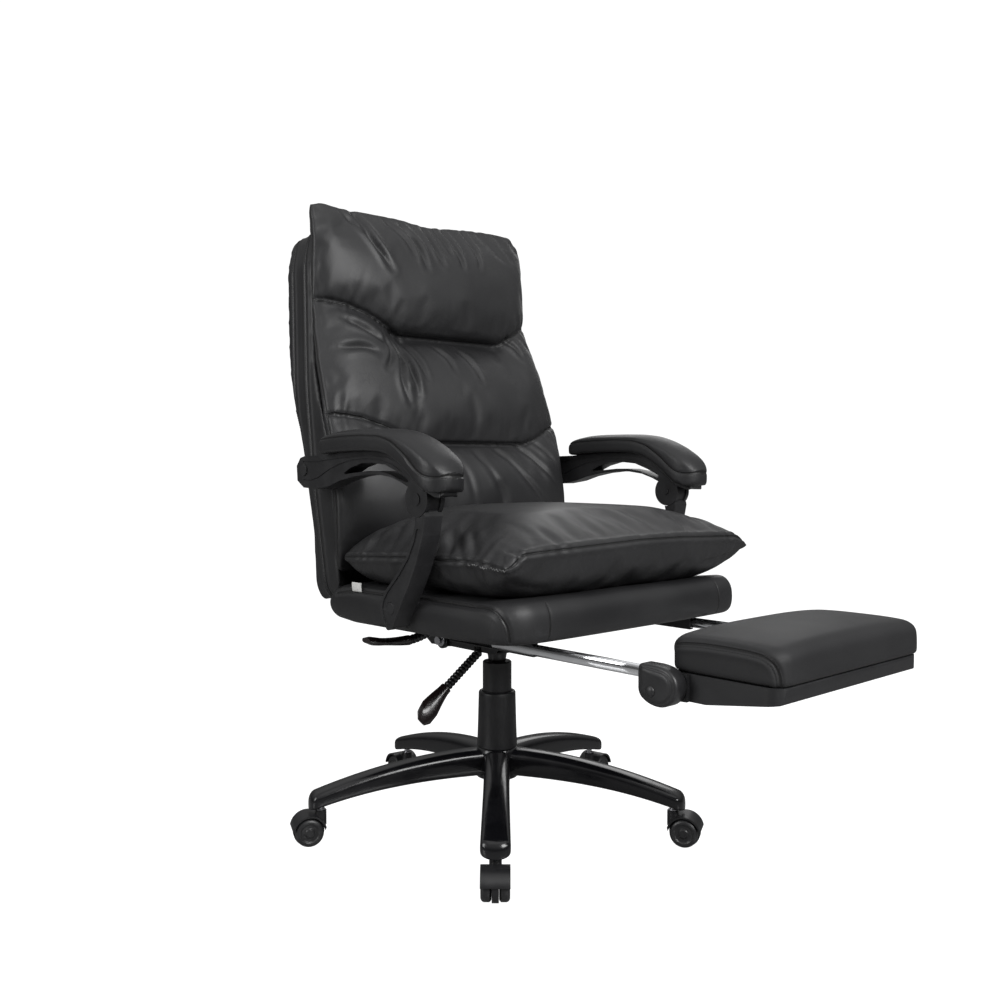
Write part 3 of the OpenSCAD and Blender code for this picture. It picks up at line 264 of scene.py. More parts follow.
def leatherGrainGroup():
    # pebbled skin with fine pores and soft creasing
    group, given, out = newGroup("leatherGrain", grainInputs(900.0), ["Height", "Tone", "Creasing"])
    warp = newNode(group, "ShaderNodeTexNoise", {"Scale": 60.0, "Detail": 2.0})
    group.links.new(given.outputs["Place"], warp.inputs["Vector"])
    bent = newNode(group, "ShaderNodeVectorMath", operation="MULTIPLY_ADD")
    group.links.new(warp.outputs["Color"], bent.inputs[0])
    bent.inputs[1].default_value = (0.004, 0.004, 0.004)
    group.links.new(given.outputs["Place"], bent.inputs[2])
    cells = newNode(group, "ShaderNodeTexVoronoi", feature="SMOOTH_F1")
    cells.inputs["Smoothness"].default_value = 0.35
    group.links.new(bent.outputs[0], cells.inputs["Vector"])
    group.links.new(given.outputs["Scale"], cells.inputs["Scale"])
    pores = newNode(group, "ShaderNodeTexNoise", {"Detail": 3.0, "Roughness": 0.6})
    group.links.new(given.outputs["Place"], pores.inputs["Vector"])
    group.links.new(sums(group, "MULTIPLY", given.outputs["Scale"], 2.2), pores.inputs["Scale"])
    height = sums(group, "ADD", sums(group, "MULTIPLY", cells.outputs["Distance"], -0.7),
                  sums(group, "MULTIPLY", pores.outputs["Fac"], 0.3))
    lines = newNode(group, "ShaderNodeTexVoronoi", {"Scale": 26.0, "Randomness": 1.0},
                    feature="DISTANCE_TO_EDGE")
    stretch = newNode(group, "ShaderNodeVectorMath", operation="MULTIPLY_ADD")
    group.links.new(warp.outputs["Color"], stretch.inputs[0])
    stretch.inputs[1].default_value = (0.05, 0.05, 0.05)
    group.links.new(given.outputs["Place"], stretch.inputs[2])
    group.links.new(stretch.outputs[0], lines.inputs["Vector"])
    patches = newNode(group, "ShaderNodeTexNoise", {"Scale": 7.0, "Detail": 2.0})
    group.links.new(given.outputs["Place"], patches.inputs["Vector"])
    creasing = sums(group, "MULTIPLY", ramp(group, lines.outputs["Distance"], 0.0, 0.05, 1.0, 0.0),
                    ramp(group, patches.outputs["Fac"], 0.45, 0.7))
    group.links.new(height, out.inputs["Height"])
    group.links.new(patches.outputs["Fac"], out.inputs["Tone"])
    group.links.new(creasing, out.inputs["Creasing"])
    return group


def seamGroup():
    # a sewn line from the distances stored on the mesh: Side is signed, Reach is not, both in metres; besides
    # the groove it gives a near-black band that is painted shade in the seam
    distances = [(label, "NodeSocketFloat", 1.0) for label in ("Side", "Reach")]
    group, given, out = newGroup("sewnSeam", distances, ["Height", "Line"])
    across = sums(group, "ABSOLUTE", given.outputs["Side"], 0.0)
    near = ramp(group, given.outputs["Reach"], 0.004, 0.006, 1.0, 0.0)
    # the groove's band both sinks the surface and, as painted shade, darkens the colour
    line = sums(group, "MULTIPLY", ramp(group, across, 0.0008, 0.0021, 1.0, 0.0), near)
    roll = sums(group, "MULTIPLY", ramp(group, across, 0.001, 0.005, 1.0, 0.0), near)
    group.links.new(sums(group, "SUBTRACT", sums(group, "MULTIPLY", roll, 0.35), line), out.inputs["Height"])
    group.links.new(line, out.inputs["Line"])
    return group


def mouldedGrainGroup():
    # fine spark-eroded grain of moulded plastic, and the smudges that handling leaves
    group, given, out = newGroup("mouldedGrain", grainInputs(1400.0), ["Height", "Smudge"])
    fine = newNode(group, "ShaderNodeTexNoise", {"Detail": 2.0, "Roughness": 0.55})
    group.links.new(given.outputs["Place"], fine.inputs["Vector"])
    group.links.new(given.outputs["Scale"], fine.inputs["Scale"])
    smudge = newNode(group, "ShaderNodeTexNoise", {"Scale": 22.0, "Detail": 5.0, "Roughness": 0.65})
    group.links.new(given.outputs["Place"], smudge.inputs["Vector"])
    group.links.new(fine.outputs["Fac"], out.inputs["Height"])
    group.links.new(ramp(group, smudge.outputs["Fac"], 0.35, 0.7), out.inputs["Smudge"])
    return group


leatherGrain, sewnSeam, mouldedGrain = leatherGrainGroup(), seamGroup(), mouldedGrainGroup()


def useGroup(tree, group, values=None):
    node = tree.nodes.new("ShaderNodeGroup")
    node.node_tree = group
    for key, value in (values or {}).items():
        node.inputs[key].default_value = value
    return node


def mixColour(tree, factor, low, high):
    node = newNode(tree, "ShaderNodeMix", data_type="RGBA")
    node.inputs[6].default_value = (*low, 1)
    node.inputs[7].default_value = (*high, 1)
    tree.links.new(factor, node.inputs[0])
    return node.outputs[2]


def newMaterial(name):
    material = bpy.data.materials.new(name)
    material.use_nodes = True
    tree = material.node_tree
    shader = tree.nodes["Principled BSDF"]
    place = tree.nodes.new("ShaderNodeTexCoord").outputs["Object"]
    return material, tree, shader, place


def bump(tree, shader, height, strength, distance):
    node = newNode(tree, "ShaderNodeBump", {"Strength": strength, "Distance": distance})
    tree.links.new(height, node.inputs["Height"])
    tree.links.new(node.outputs["Normal"], shader.inputs["Normal"])


def leatherMaterial(name, dark, light, roughness, grainScale=900.0):
    material, tree, shader, place = newMaterial(name)
    grain = useGroup(tree, leatherGrain, {"Scale": grainScale})
    tree.links.new(place, grain.inputs["Place"])
    seam = useGroup(tree, sewnSeam)
    for socket, label in (("Side", "seamSide"), ("Reach", "seamReach")):
        stored = newNode(tree, "ShaderNodeAttribute", attribute_name=label)
        tree.links.new(stored.outputs["Fac"], seam.inputs[socket])
    toned = mixColour(tree, ramp(tree, grain.outputs["Tone"], 0.3, 0.7), dark, light)
    # painted shade: the leather turns near black along each seam groove
    sewn = newNode(tree, "ShaderNodeMix", data_type="RGBA")
    tree.links.new(sums(tree, "MULTIPLY", seam.outputs["Line"], 0.85), sewn.inputs[0])
    tree.links.new(toned, sewn.inputs[6])
    sewn.inputs[7].default_value = (0.004, 0.004, 0.004, 1)
    tree.links.new(sewn.outputs[2], shader.inputs["Base Color"])
    toneGloss = ramp(tree, grain.outputs["Tone"], 0.3, 0.7, roughness - 0.04, roughness + 0.04)
    uneven = sums(tree, "ADD", toneGloss, sums(tree, "MULTIPLY", grain.outputs["Creasing"], 0.06))
    tree.links.new(uneven, shader.inputs["Roughness"])
    height = sums(tree, "ADD", sums(tree, "MULTIPLY", grain.outputs["Height"], 0.12),
                  sums(tree, "MULTIPLY", grain.outputs["Creasing"], -0.10))
    height = sums(tree, "ADD", height, seam.outputs["Height"])
    bump(tree, shader, height, 0.75, 0.0012)
    shader.inputs["Specular IOR Level"].default_value = 0.42
    return material


def plasticMaterial(name, colour, roughness, depth=0.00005, scale=1400.0, coat=0.0):
    material, tree, shader, place = newMaterial(name)
    grain = useGroup(tree, mouldedGrain, {"Scale": scale})
    tree.links.new(place, grain.inputs["Place"])
    lighter = tuple(c * 1.25 + 0.001 for c in colour)
    smudge = grain.outputs["Smudge"]
    tree.links.new(mixColour(tree, smudge, colour, lighter), shader.inputs["Base Color"])
    tree.links.new(ramp(tree, smudge, 0, 1, roughness - 0.03, roughness + 0.05), shader.inputs["Roughness"])
    bump(tree, shader, grain.outputs["Height"], 0.5, depth)
    shader.inputs["Coat Weight"].default_value = coat
    shader.inputs["Coat Roughness"].default_value = 0.08
    return material


def metalMaterial(name, colour, roughness):
    material, tree, shader, place = newMaterial(name)
    grain = useGroup(tree, mouldedGrain, {"Scale": 300.0})
    tree.links.new(place, grain.inputs["Place"])
    lighter = tuple(min(1.0, c * 1.08) for c in colour)
    smudge = grain.outputs["Smudge"]
    tree.links.new(mixColour(tree, smudge, colour, lighter), shader.inputs["Base Color"])
    tree.links.new(ramp(tree, smudge, 0, 1, roughness, roughness + 0.06), shader.inputs["Roughness"])
    shader.inputs["Metallic"].default_value = 1.0
    bump(tree, shader, grain.outputs["Height"], 0.25, 0.00002)
    return material


def wovenMaterial(name, colour, pitch):
    # plain weave read from the piece's own place: two crossed waves
    material, tree, shader, place = newMaterial(name)
    waves = []
    for axis in ("Y", "Z"):
        values = {"Scale": 1 / pitch, "Distortion": 0.4, "Detail": 1.0}
        wave = newNode(tree, "ShaderNodeTexWave", values, bands_direction=axis)
        tree.links.new(place, wave.inputs["Vector"])
        waves.append(wave.outputs["Fac"])
    weave = sums(tree, "MULTIPLY", waves[0], waves[1])
    darker = tuple(c * 0.82 for c in colour)
    tree.links.new(mixColour(tree, weave, darker, colour), shader.inputs["Base Color"])
    shader.inputs["Roughness"].default_value = 0.9
    bump(tree, shader, weave, 0.5, pitch * 0.2)
    return material


def plywoodMaterial():
    material, tree, shader, place = newMaterial("birchPly")
    values = {"Scale": 9.0, "Distortion": 6.0, "Detail": 3.0}
    wave = newNode(tree, "ShaderNodeTexWave", values, bands_direction="X")
    tree.links.new(place, wave.inputs["Vector"])
    streaks = mixColour(tree, wave.outputs["Fac"], (0.36, 0.24, 0.13), (0.52, 0.38, 0.23))
    tree.links.new(streaks, shader.inputs["Base Color"])
    shader.inputs["Roughness"].default_value = 0.65
    bump(tree, shader, wave.outputs["Fac"], 0.2, 0.0003)
    return material


leather = leatherMaterial("softLeather", (0.017, 0.017, 0.018), (0.023, 0.023, 0.024), 0.50)
firmLeather = leatherMaterial("firmLeather", (0.013, 0.013, 0.014), (0.018, 0.018, 0.019), 0.46, 1050.0)
# the footrest pad's leather is a darker, rougher copy of the firm leather; the extra darkness is painted
# shade that holds down the light on its top
shadedFootLeather = leatherMaterial("shadedFootLeather", (0.011, 0.011, 0.012), (0.015, 0.015, 0.016), 0.62, 1050.0)
thread = wovenMaterial("blackThread", (0.012, 0.012, 0.012), 0.0006)
paleThread = wovenMaterial("greyThread", (0.20, 0.20, 0.20), 0.0006)
label = wovenMaterial("whiteTape", (0.80, 0.80, 0.78), 0.0007)
lining = wovenMaterial("blackLining", (0.012, 0.012, 0.013), 0.0012)
armPlastic = plasticMaterial("armNylon", (0.014, 0.014, 0.015), 0.42)
coverPlastic = plasticMaterial("coverPlastic", (0.009, 0.009, 0.010), 0.40)
trayPlastic = plasticMaterial("trayPlastic", (0.009, 0.009, 0.010), 0.50)
wheelPlastic = plasticMaterial("wheelNylon", (0.015, 0.015, 0.016), 0.36)
leverPlastic = plasticMaterial("leverGrip", (0.010, 0.010, 0.011), 0.30)
paddlePlastic = plasticMaterial("leverPaddle", (0.010, 0.006, 0.006), 0.20, depth=0.00001, coat=0.35)
enamel = plasticMaterial("blackEnamel", (0.004, 0.004, 0.005), 0.20, depth=0.00002, scale=500.0, coat=0.15)
pressedEnamel = plasticMaterial("pressedEnamel", (0.009, 0.009, 0.010), 0.38, depth=0.00004, scale=800.0)
chrome = metalMaterial("railChrome", (0.78, 0.79, 0.81), 0.07)
steel = metalMaterial("plainSteel", (0.46, 0.46, 0.48), 0.30)
birchPly = plywoodMaterial()
print("materials made")


# every moulded, turned or pressed piece: edge radius in metres, finish and slot
rigidFinishes = {
    "lower_sleeve": (0.0008, coverPlastic, "plastic"),
    "upper_sleeve": (0.0008, coverPlastic, "plastic"),
    "lift_tube": (0.0004, steel, "steel"),
    "gas_cylinder": (0.0004, pressedEnamel, "steel"),
    "piston_rod": (0.0004, chrome, "steel"),
    "thrust_bearing": (0.0003, steel, "steel"),
    "valve_pin": (0.0003, steel, "steel"),
    "mechanism_pan": (0.0009, pressedEnamel, "enamel"),
    "mechanism_bolts": (0.0005, steel, "steel"),
    "recline_axle": (0.0007, steel, "steel"),
    "back_bracket": (0.0010, pressedEnamel, "enamel"),
    "back_bolts": (0.0005, steel, "steel"),
    "height_lever_rod": (0.0004, leverPlastic, "plastic"),
    "recline_lever_rod": (0.0004, leverPlastic, "plastic"),
    "height_lever_paddle": (0.0010, paddlePlastic, "plastic"),
    "recline_lever_paddle": (0.0010, paddlePlastic, "plastic"),
    "footrest_tray": (0.0016, trayPlastic, "plastic"),
}
for name, (radius, finish, slotName) in rigidFinishes.items():
    softenedCopy(name, radius, finish, slotName, segments=3)
for k in range(1, 6):
    softenedCopy(f"caster_stem_{k}", 0.0004, steel, "steel", segments=1)
    softenedCopy(f"caster_hood_{k}", 0.0009, coverPlastic, "plastic", segments=2)
    softenedCopy(f"caster_wheels_{k}", 0.0006, wheelPlastic, "wheel", segments=1)
for side in ("right", "left"):
    softenedCopy(side + "_upright", 0.0022, armPlastic, "plastic", segments=3)
    softenedCopy(side + "_arm_bar", 0.0020, armPlastic, "plastic", segments=3)
    softenedCopy(side + "_barrel_pin", 0.0005, armPlastic, "plastic")
    softenedCopy(side + "_rear_bolt", 0.0005, armPlastic, "plastic")
    softenedCopy(side + "_arm_pivot", 0.0006, armPlastic, "plastic")
    softenedCopy(side + "_rail_guide", 0.0006, trayPlastic, "plastic")
for name, finish in (("seat_board", lining), ("back_board", birchPly), ("return_spring", steel)):
    nodes[name].data.materials.clear()
    nodes[name].data.materials.append(finish)


# arm bars end short of the pad's nose
barTip = {"from": -0.224, "keep": 0.35, "raise": 0.5}
for side in ("right", "left"):
    bar = bpy.data.objects[side + "_arm_bar_finished"].data
    points = readPoints(bar)
    beyond = np.maximum(0, barTip["from"] - points[:, 1])
    points[:, 1] += beyond * (1 - barTip["keep"])
    points[:, 2] += beyond * barTip["raise"]
    writePoints(bar, points)


# oval chromed rails
railForm = {"x": 0.200, "z": 0.392, "front": -0.530, "rear": -0.210, "wide": 0.012, "tall": 0.018,
            "sides": 28, "square": 2.6, "chamfer": 0.001}


def squaredOff(value, square):
    # a cosine or sine pushed outwards, which flattens the sides of an oval
    return math.copysign(abs(value) ** (2 / square), value)


def railRing(x, y, shrink):
    form = railForm
    ring = []
    for k in range(form["sides"]):
        a = 2 * math.pi * k / form["sides"]
        ring.append((x + squaredOff(math.cos(a), form["square"]) * (form["wide"] / 2 - shrink), y,
                     form["z"] + squaredOff(math.sin(a), form["square"]) * (form["tall"] / 2 - shrink)))
    return ring


def makeRail(side, x):
    chamfer = railForm["chamfer"]
    ends = [(railForm["front"], chamfer), (railForm["front"] + chamfer, 0.0),
            (railForm["rear"] - chamfer, 0.0), (railForm["rear"], chamfer)]
    rail = meshPiece(side + "RailOval", skin([railRing(x, y, shrink) for y, shrink in ends]))
    dress(rail, chrome, "footrest_slide", "chrome", [side + "_rail"])


makeRail("right", -railForm["x"])
makeRail("left", railForm["x"])


# the height lever's paddle stands with its broad face towards the sitter's side
leverTurn = {"knee": (-0.0280, 0.0, 0.3417), "slope": 35, "turn": -62, "start": 0.117, "long": 0.078,
             "bend": 0.010, "widen": 1.3}


def turnPaddle():
    # turns each cross-section about the paddle's bent middle line
    paddle = bpy.data.objects["height_lever_paddle_finished"]
    points = readPoints(paddle.data)
    slope = math.radians(leverTurn["slope"])
    ahead = np.array([-math.cos(slope), 0, -math.sin(slope)])
    under = np.array([math.sin(slope), 0, -math.cos(slope)])
    out = points - np.array(leverTurn["knee"])
    along = out @ ahead
    share = np.clip((along - leverTurn["start"]) / leverTurn["long"], 0, 1)
    middle = along[:, None] * ahead + (leverTurn["bend"] * share * share)[:, None] * under
    section = (out - middle) * (1, leverTurn["widen"], 1)
    turn = Matrix.Rotation(math.radians(leverTurn["turn"]), 3, Vector(ahead))
    writePoints(paddle.data, section @ np.array(turn.transposed()) + middle + np.array(leverTurn["knee"]))


# the recline lever's paddle keeps its thickness to a blunt end
gripForm = {"start": -0.200, "long": 0.092, "y": 0.010, "z": 0.368, "upturn": 0.010, "thick": 1.2,
            "thickenFrom": 0.6, "thicken": 1.0, "widenFrom": 0.87, "widen": 0.5}


def thickenPaddle():
    form = gripForm
    paddle = bpy.data.objects["recline_lever_paddle_finished"]
    points = readPoints(paddle.data)
    share = np.clip((form["start"] - points[:, 0]) / form["long"], 0, 1)
    middle = form["z"] + form["upturn"] * share * share
    fuller = form["thicken"] * np.clip((share - form["thickenFrom"]) / (1 - form["thickenFrom"]), 0, 1)
    wider = form["widen"] * np.clip((share - form["widenFrom"]) / (1 - form["widenFrom"]), 0, 1)
    points[:, 2] = middle + (points[:, 2] - middle) * (form["thick"] + fuller)
    points[:, 1] = form["y"] + (points[:, 1] - form["y"]) * (1 + wider)
    writePoints(paddle.data, points)


# cast five-star base: arched legs with rounded backs that run into a turned hub
starBaseForm = {
    "turn": -43, "legs": 5, "start": 0.020, "tip": 0.3515, "nose": 0.013, "steps": 22, "noseSteps": 7,
    "rootTop": 0.1465, "rootLow": 0.098, "endTop": 0.089, "endLow": 0.062,
    "rootWidth": 0.050, "endWidth": 0.049, "waist": 0.004, "sides": 40, "square": 2.9, "squareBelow": 5.0,
    "lowCurve": 2.6, "waistCurve": 0.8, "noseDrop": 0.55, "noseLift": 0.10, "noseWidth": 0.12,
    "hub": [(0.0251, 0.0920), (0.0380, 0.0920), (0.0400, 0.0940), (0.0412, 0.1200), (0.0405, 0.1400),
            (0.0385, 0.1465), (0.0365, 0.1480), (0.0251, 0.1480)],      # radius and height
}


def legRing(r, nose):
    # one cross-section of a leg, a distance r out; nose runs from 0 to 1 round its end
    form = starBaseForm
    t = (r - form["start"]) / (form["tip"] - form["start"])
    top = form["rootTop"] - (form["rootTop"] - form["endTop"]) * t * t
    low = form["rootLow"] - (form["rootLow"] - form["endLow"]) * t ** form["lowCurve"]
    width = form["rootWidth"] + (form["endWidth"] - form["rootWidth"]) * t
    width -= form["waist"] * math.sin(math.pi * t ** form["waistCurve"])
    shrink = math.sqrt(max(0.0, 1 - nose * nose))
    top -= (top - low) * form["noseDrop"] * (1 - shrink)
    low += (top - low) * form["noseLift"] * (1 - shrink)
    width *= form["noseWidth"] + (1 - form["noseWidth"]) * shrink
    ring = []
    for k in range(form["sides"]):
        a = 2 * math.pi * k / form["sides"]
        square = form["square"] if math.sin(a) > 0 else form["squareBelow"]
        z = (top + low) / 2 + squaredOff(math.sin(a), square) * (top - low) / 2
        ring.append((r, squaredOff(math.cos(a), square) * width / 2, z))
    return ring


def legStations():
    form = starBaseForm
    noseStart = form["tip"] - form["nose"]
    stations = [(form["start"] + (noseStart - form["start"]) * k / form["steps"], 0.0)
                for k in range(form["steps"] + 1)]
    for k in range(1, form["noseSteps"] + 1):
        turned = math.sin(math.pi / 2 * k / form["noseSteps"])
        stations.append((noseStart + form["nose"] * turned, turned * 0.995))
    return stations


bm = bmesh.new()
for leg in range(starBaseForm["legs"]):
    angle = math.radians(starBaseForm["turn"] + 360 / starBaseForm["legs"] * leg - 90)
    part = skin([legRing(r, nose) for r, nose in legStations()])
    bmesh.ops.rotate(part, verts=part.verts[:], cent=(0, 0, 0), matrix=Matrix.Rotation(angle, 3, "Z"))
    legMesh = bpy.data.meshes.new("leg")
    bmesh.ops.recalc_face_normals(part, faces=part.faces)
    part.to_mesh(legMesh)
    part.free()
    bm.from_mesh(legMesh)
    bpy.data.meshes.remove(legMesh)
hubVerts = [bm.verts.new((r, 0, z)) for r, z in starBaseForm["hub"]]
hubEdges = [bm.edges.new(pair) for pair in zip(hubVerts, hubVerts[1:] + hubVerts[:1])]
bmesh.ops.spin(bm, geom=hubVerts + hubEdges, cent=(0, 0, 0), axis=(0, 0, 1), angle=2 * math.pi, steps=72,
               use_merge=True)
bmesh.ops.remove_doubles(bm, verts=bm.verts, dist=weldReach)
dress(meshPiece("starBase", bm), enamel, "base", "enamel", ["star_base"])
turnPaddle()
thickenPaddle()


# moulded D-shaped hinge housings with a raised face and a button over the pin
hingeForm = {
    "y": -0.545, "z": 0.371, "pin": 0.004, "pinEnd": -0.173, "inner": -0.1932, "side": -0.2120,
    "round": 0.0050, "roundSteps": 8, "lip": 0.001, "middle": (-0.007, 0.007),
    "outline": [(0.026, 0.035), (0.026, 0.012), (0.026, -0.008), (0.010, -0.019), (-0.010, -0.0225),
                (-0.026, -0.018), (-0.038, -0.006), (-0.042, 0.008), (-0.038, 0.022), (-0.027, 0.031),
                (-0.010, 0.035), (0.010, 0.035)],
    "face": [(-0.2170, 0.0066), (-0.2192, 0.0076), (-0.2200, 0.0092), (-0.2202, 0.0140)],   # x and inset
    "button": [(0.0, -0.0010), (0.0078, -0.0010), (0.0078, 0.0), (0.0074, 0.0016), (0.0058, 0.0031),
               (0.0030, 0.0040), (0.0, 0.0043)],        # radius and rise
}


def cutCorners(points, times):
    # rounds a closed outline by cutting its corners again and again
    for _ in range(times):
        turned = []
        for a, b in zip(points, points[1:] + points[:1]):
            turned.append(tuple(p * 0.75 + q * 0.25 for p, q in zip(a, b)))
            turned.append(tuple(p * 0.25 + q * 0.75 for p, q in zip(a, b)))
        points = turned
    return points


def hingeRings():
    form = hingeForm
    outline = cutCorners(form["outline"], 3)
    middleY, middleZ = form["middle"]

    def ring(x, inset):
        spots = []
        for a, b in outline:
            keep = 1 - inset / math.hypot(a - middleY, b - middleZ)
            spots.append((x, form["y"] + middleY + (a - middleY) * keep,
                          form["z"] + middleZ + (b - middleZ) * keep))
        return spots

    def pinRing(x):
        rounded = [(form["pin"] / math.hypot(a, b), a, b) for a, b in outline]
        return [(x, form["y"] + keep * a, form["z"] + keep * b) for keep, a, b in rounded]
    rings = [pinRing(form["pinEnd"]), pinRing(form["inner"]), ring(form["inner"], form["lip"]),
             ring(form["inner"] - form["lip"], 0.0)]
    for k in range(form["roundSteps"] + 1):
        a = math.pi / 2 * k / form["roundSteps"]
        rings.append(ring(form["side"] - form["round"] * math.sin(a), form["round"] * (1 - math.cos(a))))
    return rings + [ring(x, inset) for x, inset in form["face"]]


def makeHinge(side, sign):
    form = hingeForm
    bm = skin([[(sign * x, y, z) for x, y, z in ring] for ring in hingeRings()])
    housing = meshPiece(side + "HingeHousing", bm)
    dress(housing, armPlastic, "footrest_slide", "plastic", [side + "_hinge_bracket"])
    bm = bmesh.new()
    face = form["face"][-1][0]
    verts = [bm.verts.new((sign * (face - rise), form["y"] + r, form["z"])) for r, rise in form["button"]]
    edges = [bm.edges.new(pair) for pair in zip(verts, verts[1:])]
    bmesh.ops.spin(bm, geom=verts + edges, cent=(0, form["y"], form["z"]), axis=(1, 0, 0),
                   angle=2 * math.pi, steps=40, use_merge=True)
    bmesh.ops.remove_doubles(bm, verts=bm.verts, dist=weldReach)
    dress(meshPiece(side + "HingeButton", bm), armPlastic, "footrest_slide", "plastic")


makeHinge("right", 1)
makeHinge("left", -1)
print("rigid pieces finished")


# soft goods: a crowned form from a cube cage, voxel remeshed, inflated as cloth, then folded and sewn

def cage(name, place, cuts):
    bm = bmesh.new()
    bmesh.ops.create_cube(bm, size=2)
    bmesh.ops.subdivide_edges(bm, edges=bm.edges[:], cuts=cuts, use_grid_fill=True)
    for vert in bm.verts:
        vert.co = place(*vert.co)
    return meshPiece(name, bm)


def softBlock(name, place, form):
    piece = cage(name, place, form["cuts"])
    remesh(piece, form["voxel"])
    return piece


def steps(x, pairs):
    # smooth value between pairs that rise in x
    xs = [p[0] for p in pairs]
    x = min(max(x, xs[0]), xs[-1])
    for (x0, y0), (x1, y1) in zip(pairs, pairs[1:]):
        if x <= x1:
            t = (x - x0) / (x1 - x0)
            return y0 + (y1 - y0) * t * t * (3 - 2 * t)
    return pairs[-1][1]


def straight(x, pairs):
    return float(np.interp(x, [p[0] for p in pairs], [p[1] for p in pairs]))


def inflate(piece, values, held):
    # blows the piece up as slightly slack cloth between the points that are held
    start = readPoints(piece.data).copy()
    group = piece.vertex_groups.new(name="held")
    group.add(np.flatnonzero(held(start)).tolist(), 1.0, "REPLACE")
    modifier = piece.modifiers.new("cloth", "CLOTH")
    cloth = modifier.settings
    cloth.quality = 4
    cloth.mass = 0.3
    cloth.tension_stiffness = cloth.compression_stiffness = values["stiffness"]
    cloth.shear_stiffness = values["stiffness"] * 0.4
    cloth.bending_stiffness = values["bending"]
    cloth.use_pressure = True
    cloth.uniform_pressure_force = values["pressure"]
    cloth.effector_weights.gravity = 0
    cloth.vertex_group_mass = "held"
    cloth.shrink_min = -values["slack"]
    modifier.collision_settings.use_collision = False
    modifier.point_cache.frame_start = 1
    modifier.point_cache.frame_end = values["frames"]
    scene = bpy.context.scene
    for frameNumber in range(1, values["frames"] + 1):
        scene.frame_set(frameNumber)
    bake(piece)
    scene.frame_set(1)
    moved = readPoints(piece.data) - start
    length = np.linalg.norm(moved, axis=1, keepdims=True)
    writePoints(piece.data, start + moved * np.minimum(1, values["cap"] / np.maximum(length, 1e-9)))
    piece.vertex_groups.clear()
    print("inflated", piece.name, "by up to", round(float(length.max()) * 1000, 1), "mm")


def nearestOn(points, line):
    # distance of each point to a polyline, how far along it that is, and its whole length
    line = np.array(line, dtype=float)
    best = np.full(len(points), 1e9)
    along = np.zeros(len(points))
    travelled = 0.0
    for a, b in zip(line, line[1:]):
        span = b - a
        length = np.linalg.norm(span)
        t = np.clip(((points - a) @ span) / (length * length), 0, 1)
        distance = np.linalg.norm(points - (a + t[:, None] * span), axis=1)
        closer = distance < best
        best[closer] = distance[closer]
        along[closer] = (travelled + t * length)[closer]
        travelled += length
    return best, along, travelled


def waves(distance, *parts):
    # soft waves beside a line: the rise of each, its distance from the line and its width
    return sum(rise * np.exp(-((distance - away) / wide) ** 2) for rise, away, wide in parts)


def pushed(points, normals, rise):
    return points + normals * rise[:, None]


def crease(points, normals, flat, mask, line, depth, width):
    # presses a fold along a line given in the flat view, with a soft ridge on each side
    distance, along, whole = nearestOn(flat, smoothLine(line))
    fade = np.sin(np.pi * np.clip(along / whole, 0.02, 0.98)) ** 0.6
    shape = waves(distance, (-depth, 0, width), (0.35 * depth, 2.1 * width, 1.1 * width))
    return pushed(points, normals, shape * fade * mask)


def smoothLine(points, perSpan=6):
    if len(points) < 3:
        return points
    flat = smoothPath([(*p, 0) if len(p) == 2 else p for p in points], perSpan)
    return [tuple(p)[:len(points[0])] for p in flat]


def ripple(along, spacing, seed):
    # uneven waves along a seam, from 0 to 1
    chance = random.Random(seed)
    a, b, c = (chance.uniform(0, 6.28) for _ in range(3))
    wave = np.sin(along * 6.283 / spacing + a + 1.6 * np.sin(along * 6.283 / (spacing * 5.3) + b))
    return 0.5 + 0.5 * wave * (0.55 + 0.45 * np.sin(along * 6.283 / (spacing * 3.1) + c))


def pucker(points, normals, distance, along, mask, depth, reach, spacing, seed):
    # short gathers that run away from a sewn edge
    shape = -depth * ripple(along, spacing, seed) * np.exp(-(distance / reach) ** 1.3)
    return pushed(points, normals, shape * mask)


def storeSeams(piece, seams):
    # the nearest seam's signed and plain distance at each vertex, read by the leather material
    mesh = piece.data
    points = readPoints(mesh)
    reach = np.full(len(points), 1.0)
    side = np.full(len(points), 1.0)
    for line, across in seams:
        path = np.array(line, dtype=float)
        best = nearestOn(points, path)[0]
        for a, b in zip(path, path[1:]):
            span = b - a
            t = np.clip(((points - a) @ span) / (span @ span), 0, 1)
            offset = points - (a + t[:, None] * span)
            distance = np.linalg.norm(offset, axis=1)
            closest = (distance <= best + 1e-9) & (distance < reach)
            reach[closest] = distance[closest]
            side[closest] = (offset @ np.array(across(span)))[closest]
    for label, values in (("seamSide", side), ("seamReach", reach)):
        attribute = mesh.attributes.new(label, "FLOAT", "POINT")
        attribute.data.foreach_set("value", values.astype(np.float32))


def upFromRow(span):
    # the way across a seam that runs in y and z
    length = np.linalg.norm(span)
    return 0, -span[2] / length, span[1] / length


def surfaceOf(piece):
    faces = [face.vertices for face in piece.data.polygons]
    return BVHTree.FromPolygons([vert.co for vert in piece.data.vertices], faces)


def snapPath(surface, path):
    return [surface.find_nearest(p)[0] for p in path]


stitchForm = {"pitch": 0.0046, "long": 0.0034, "thick": 0.0008}


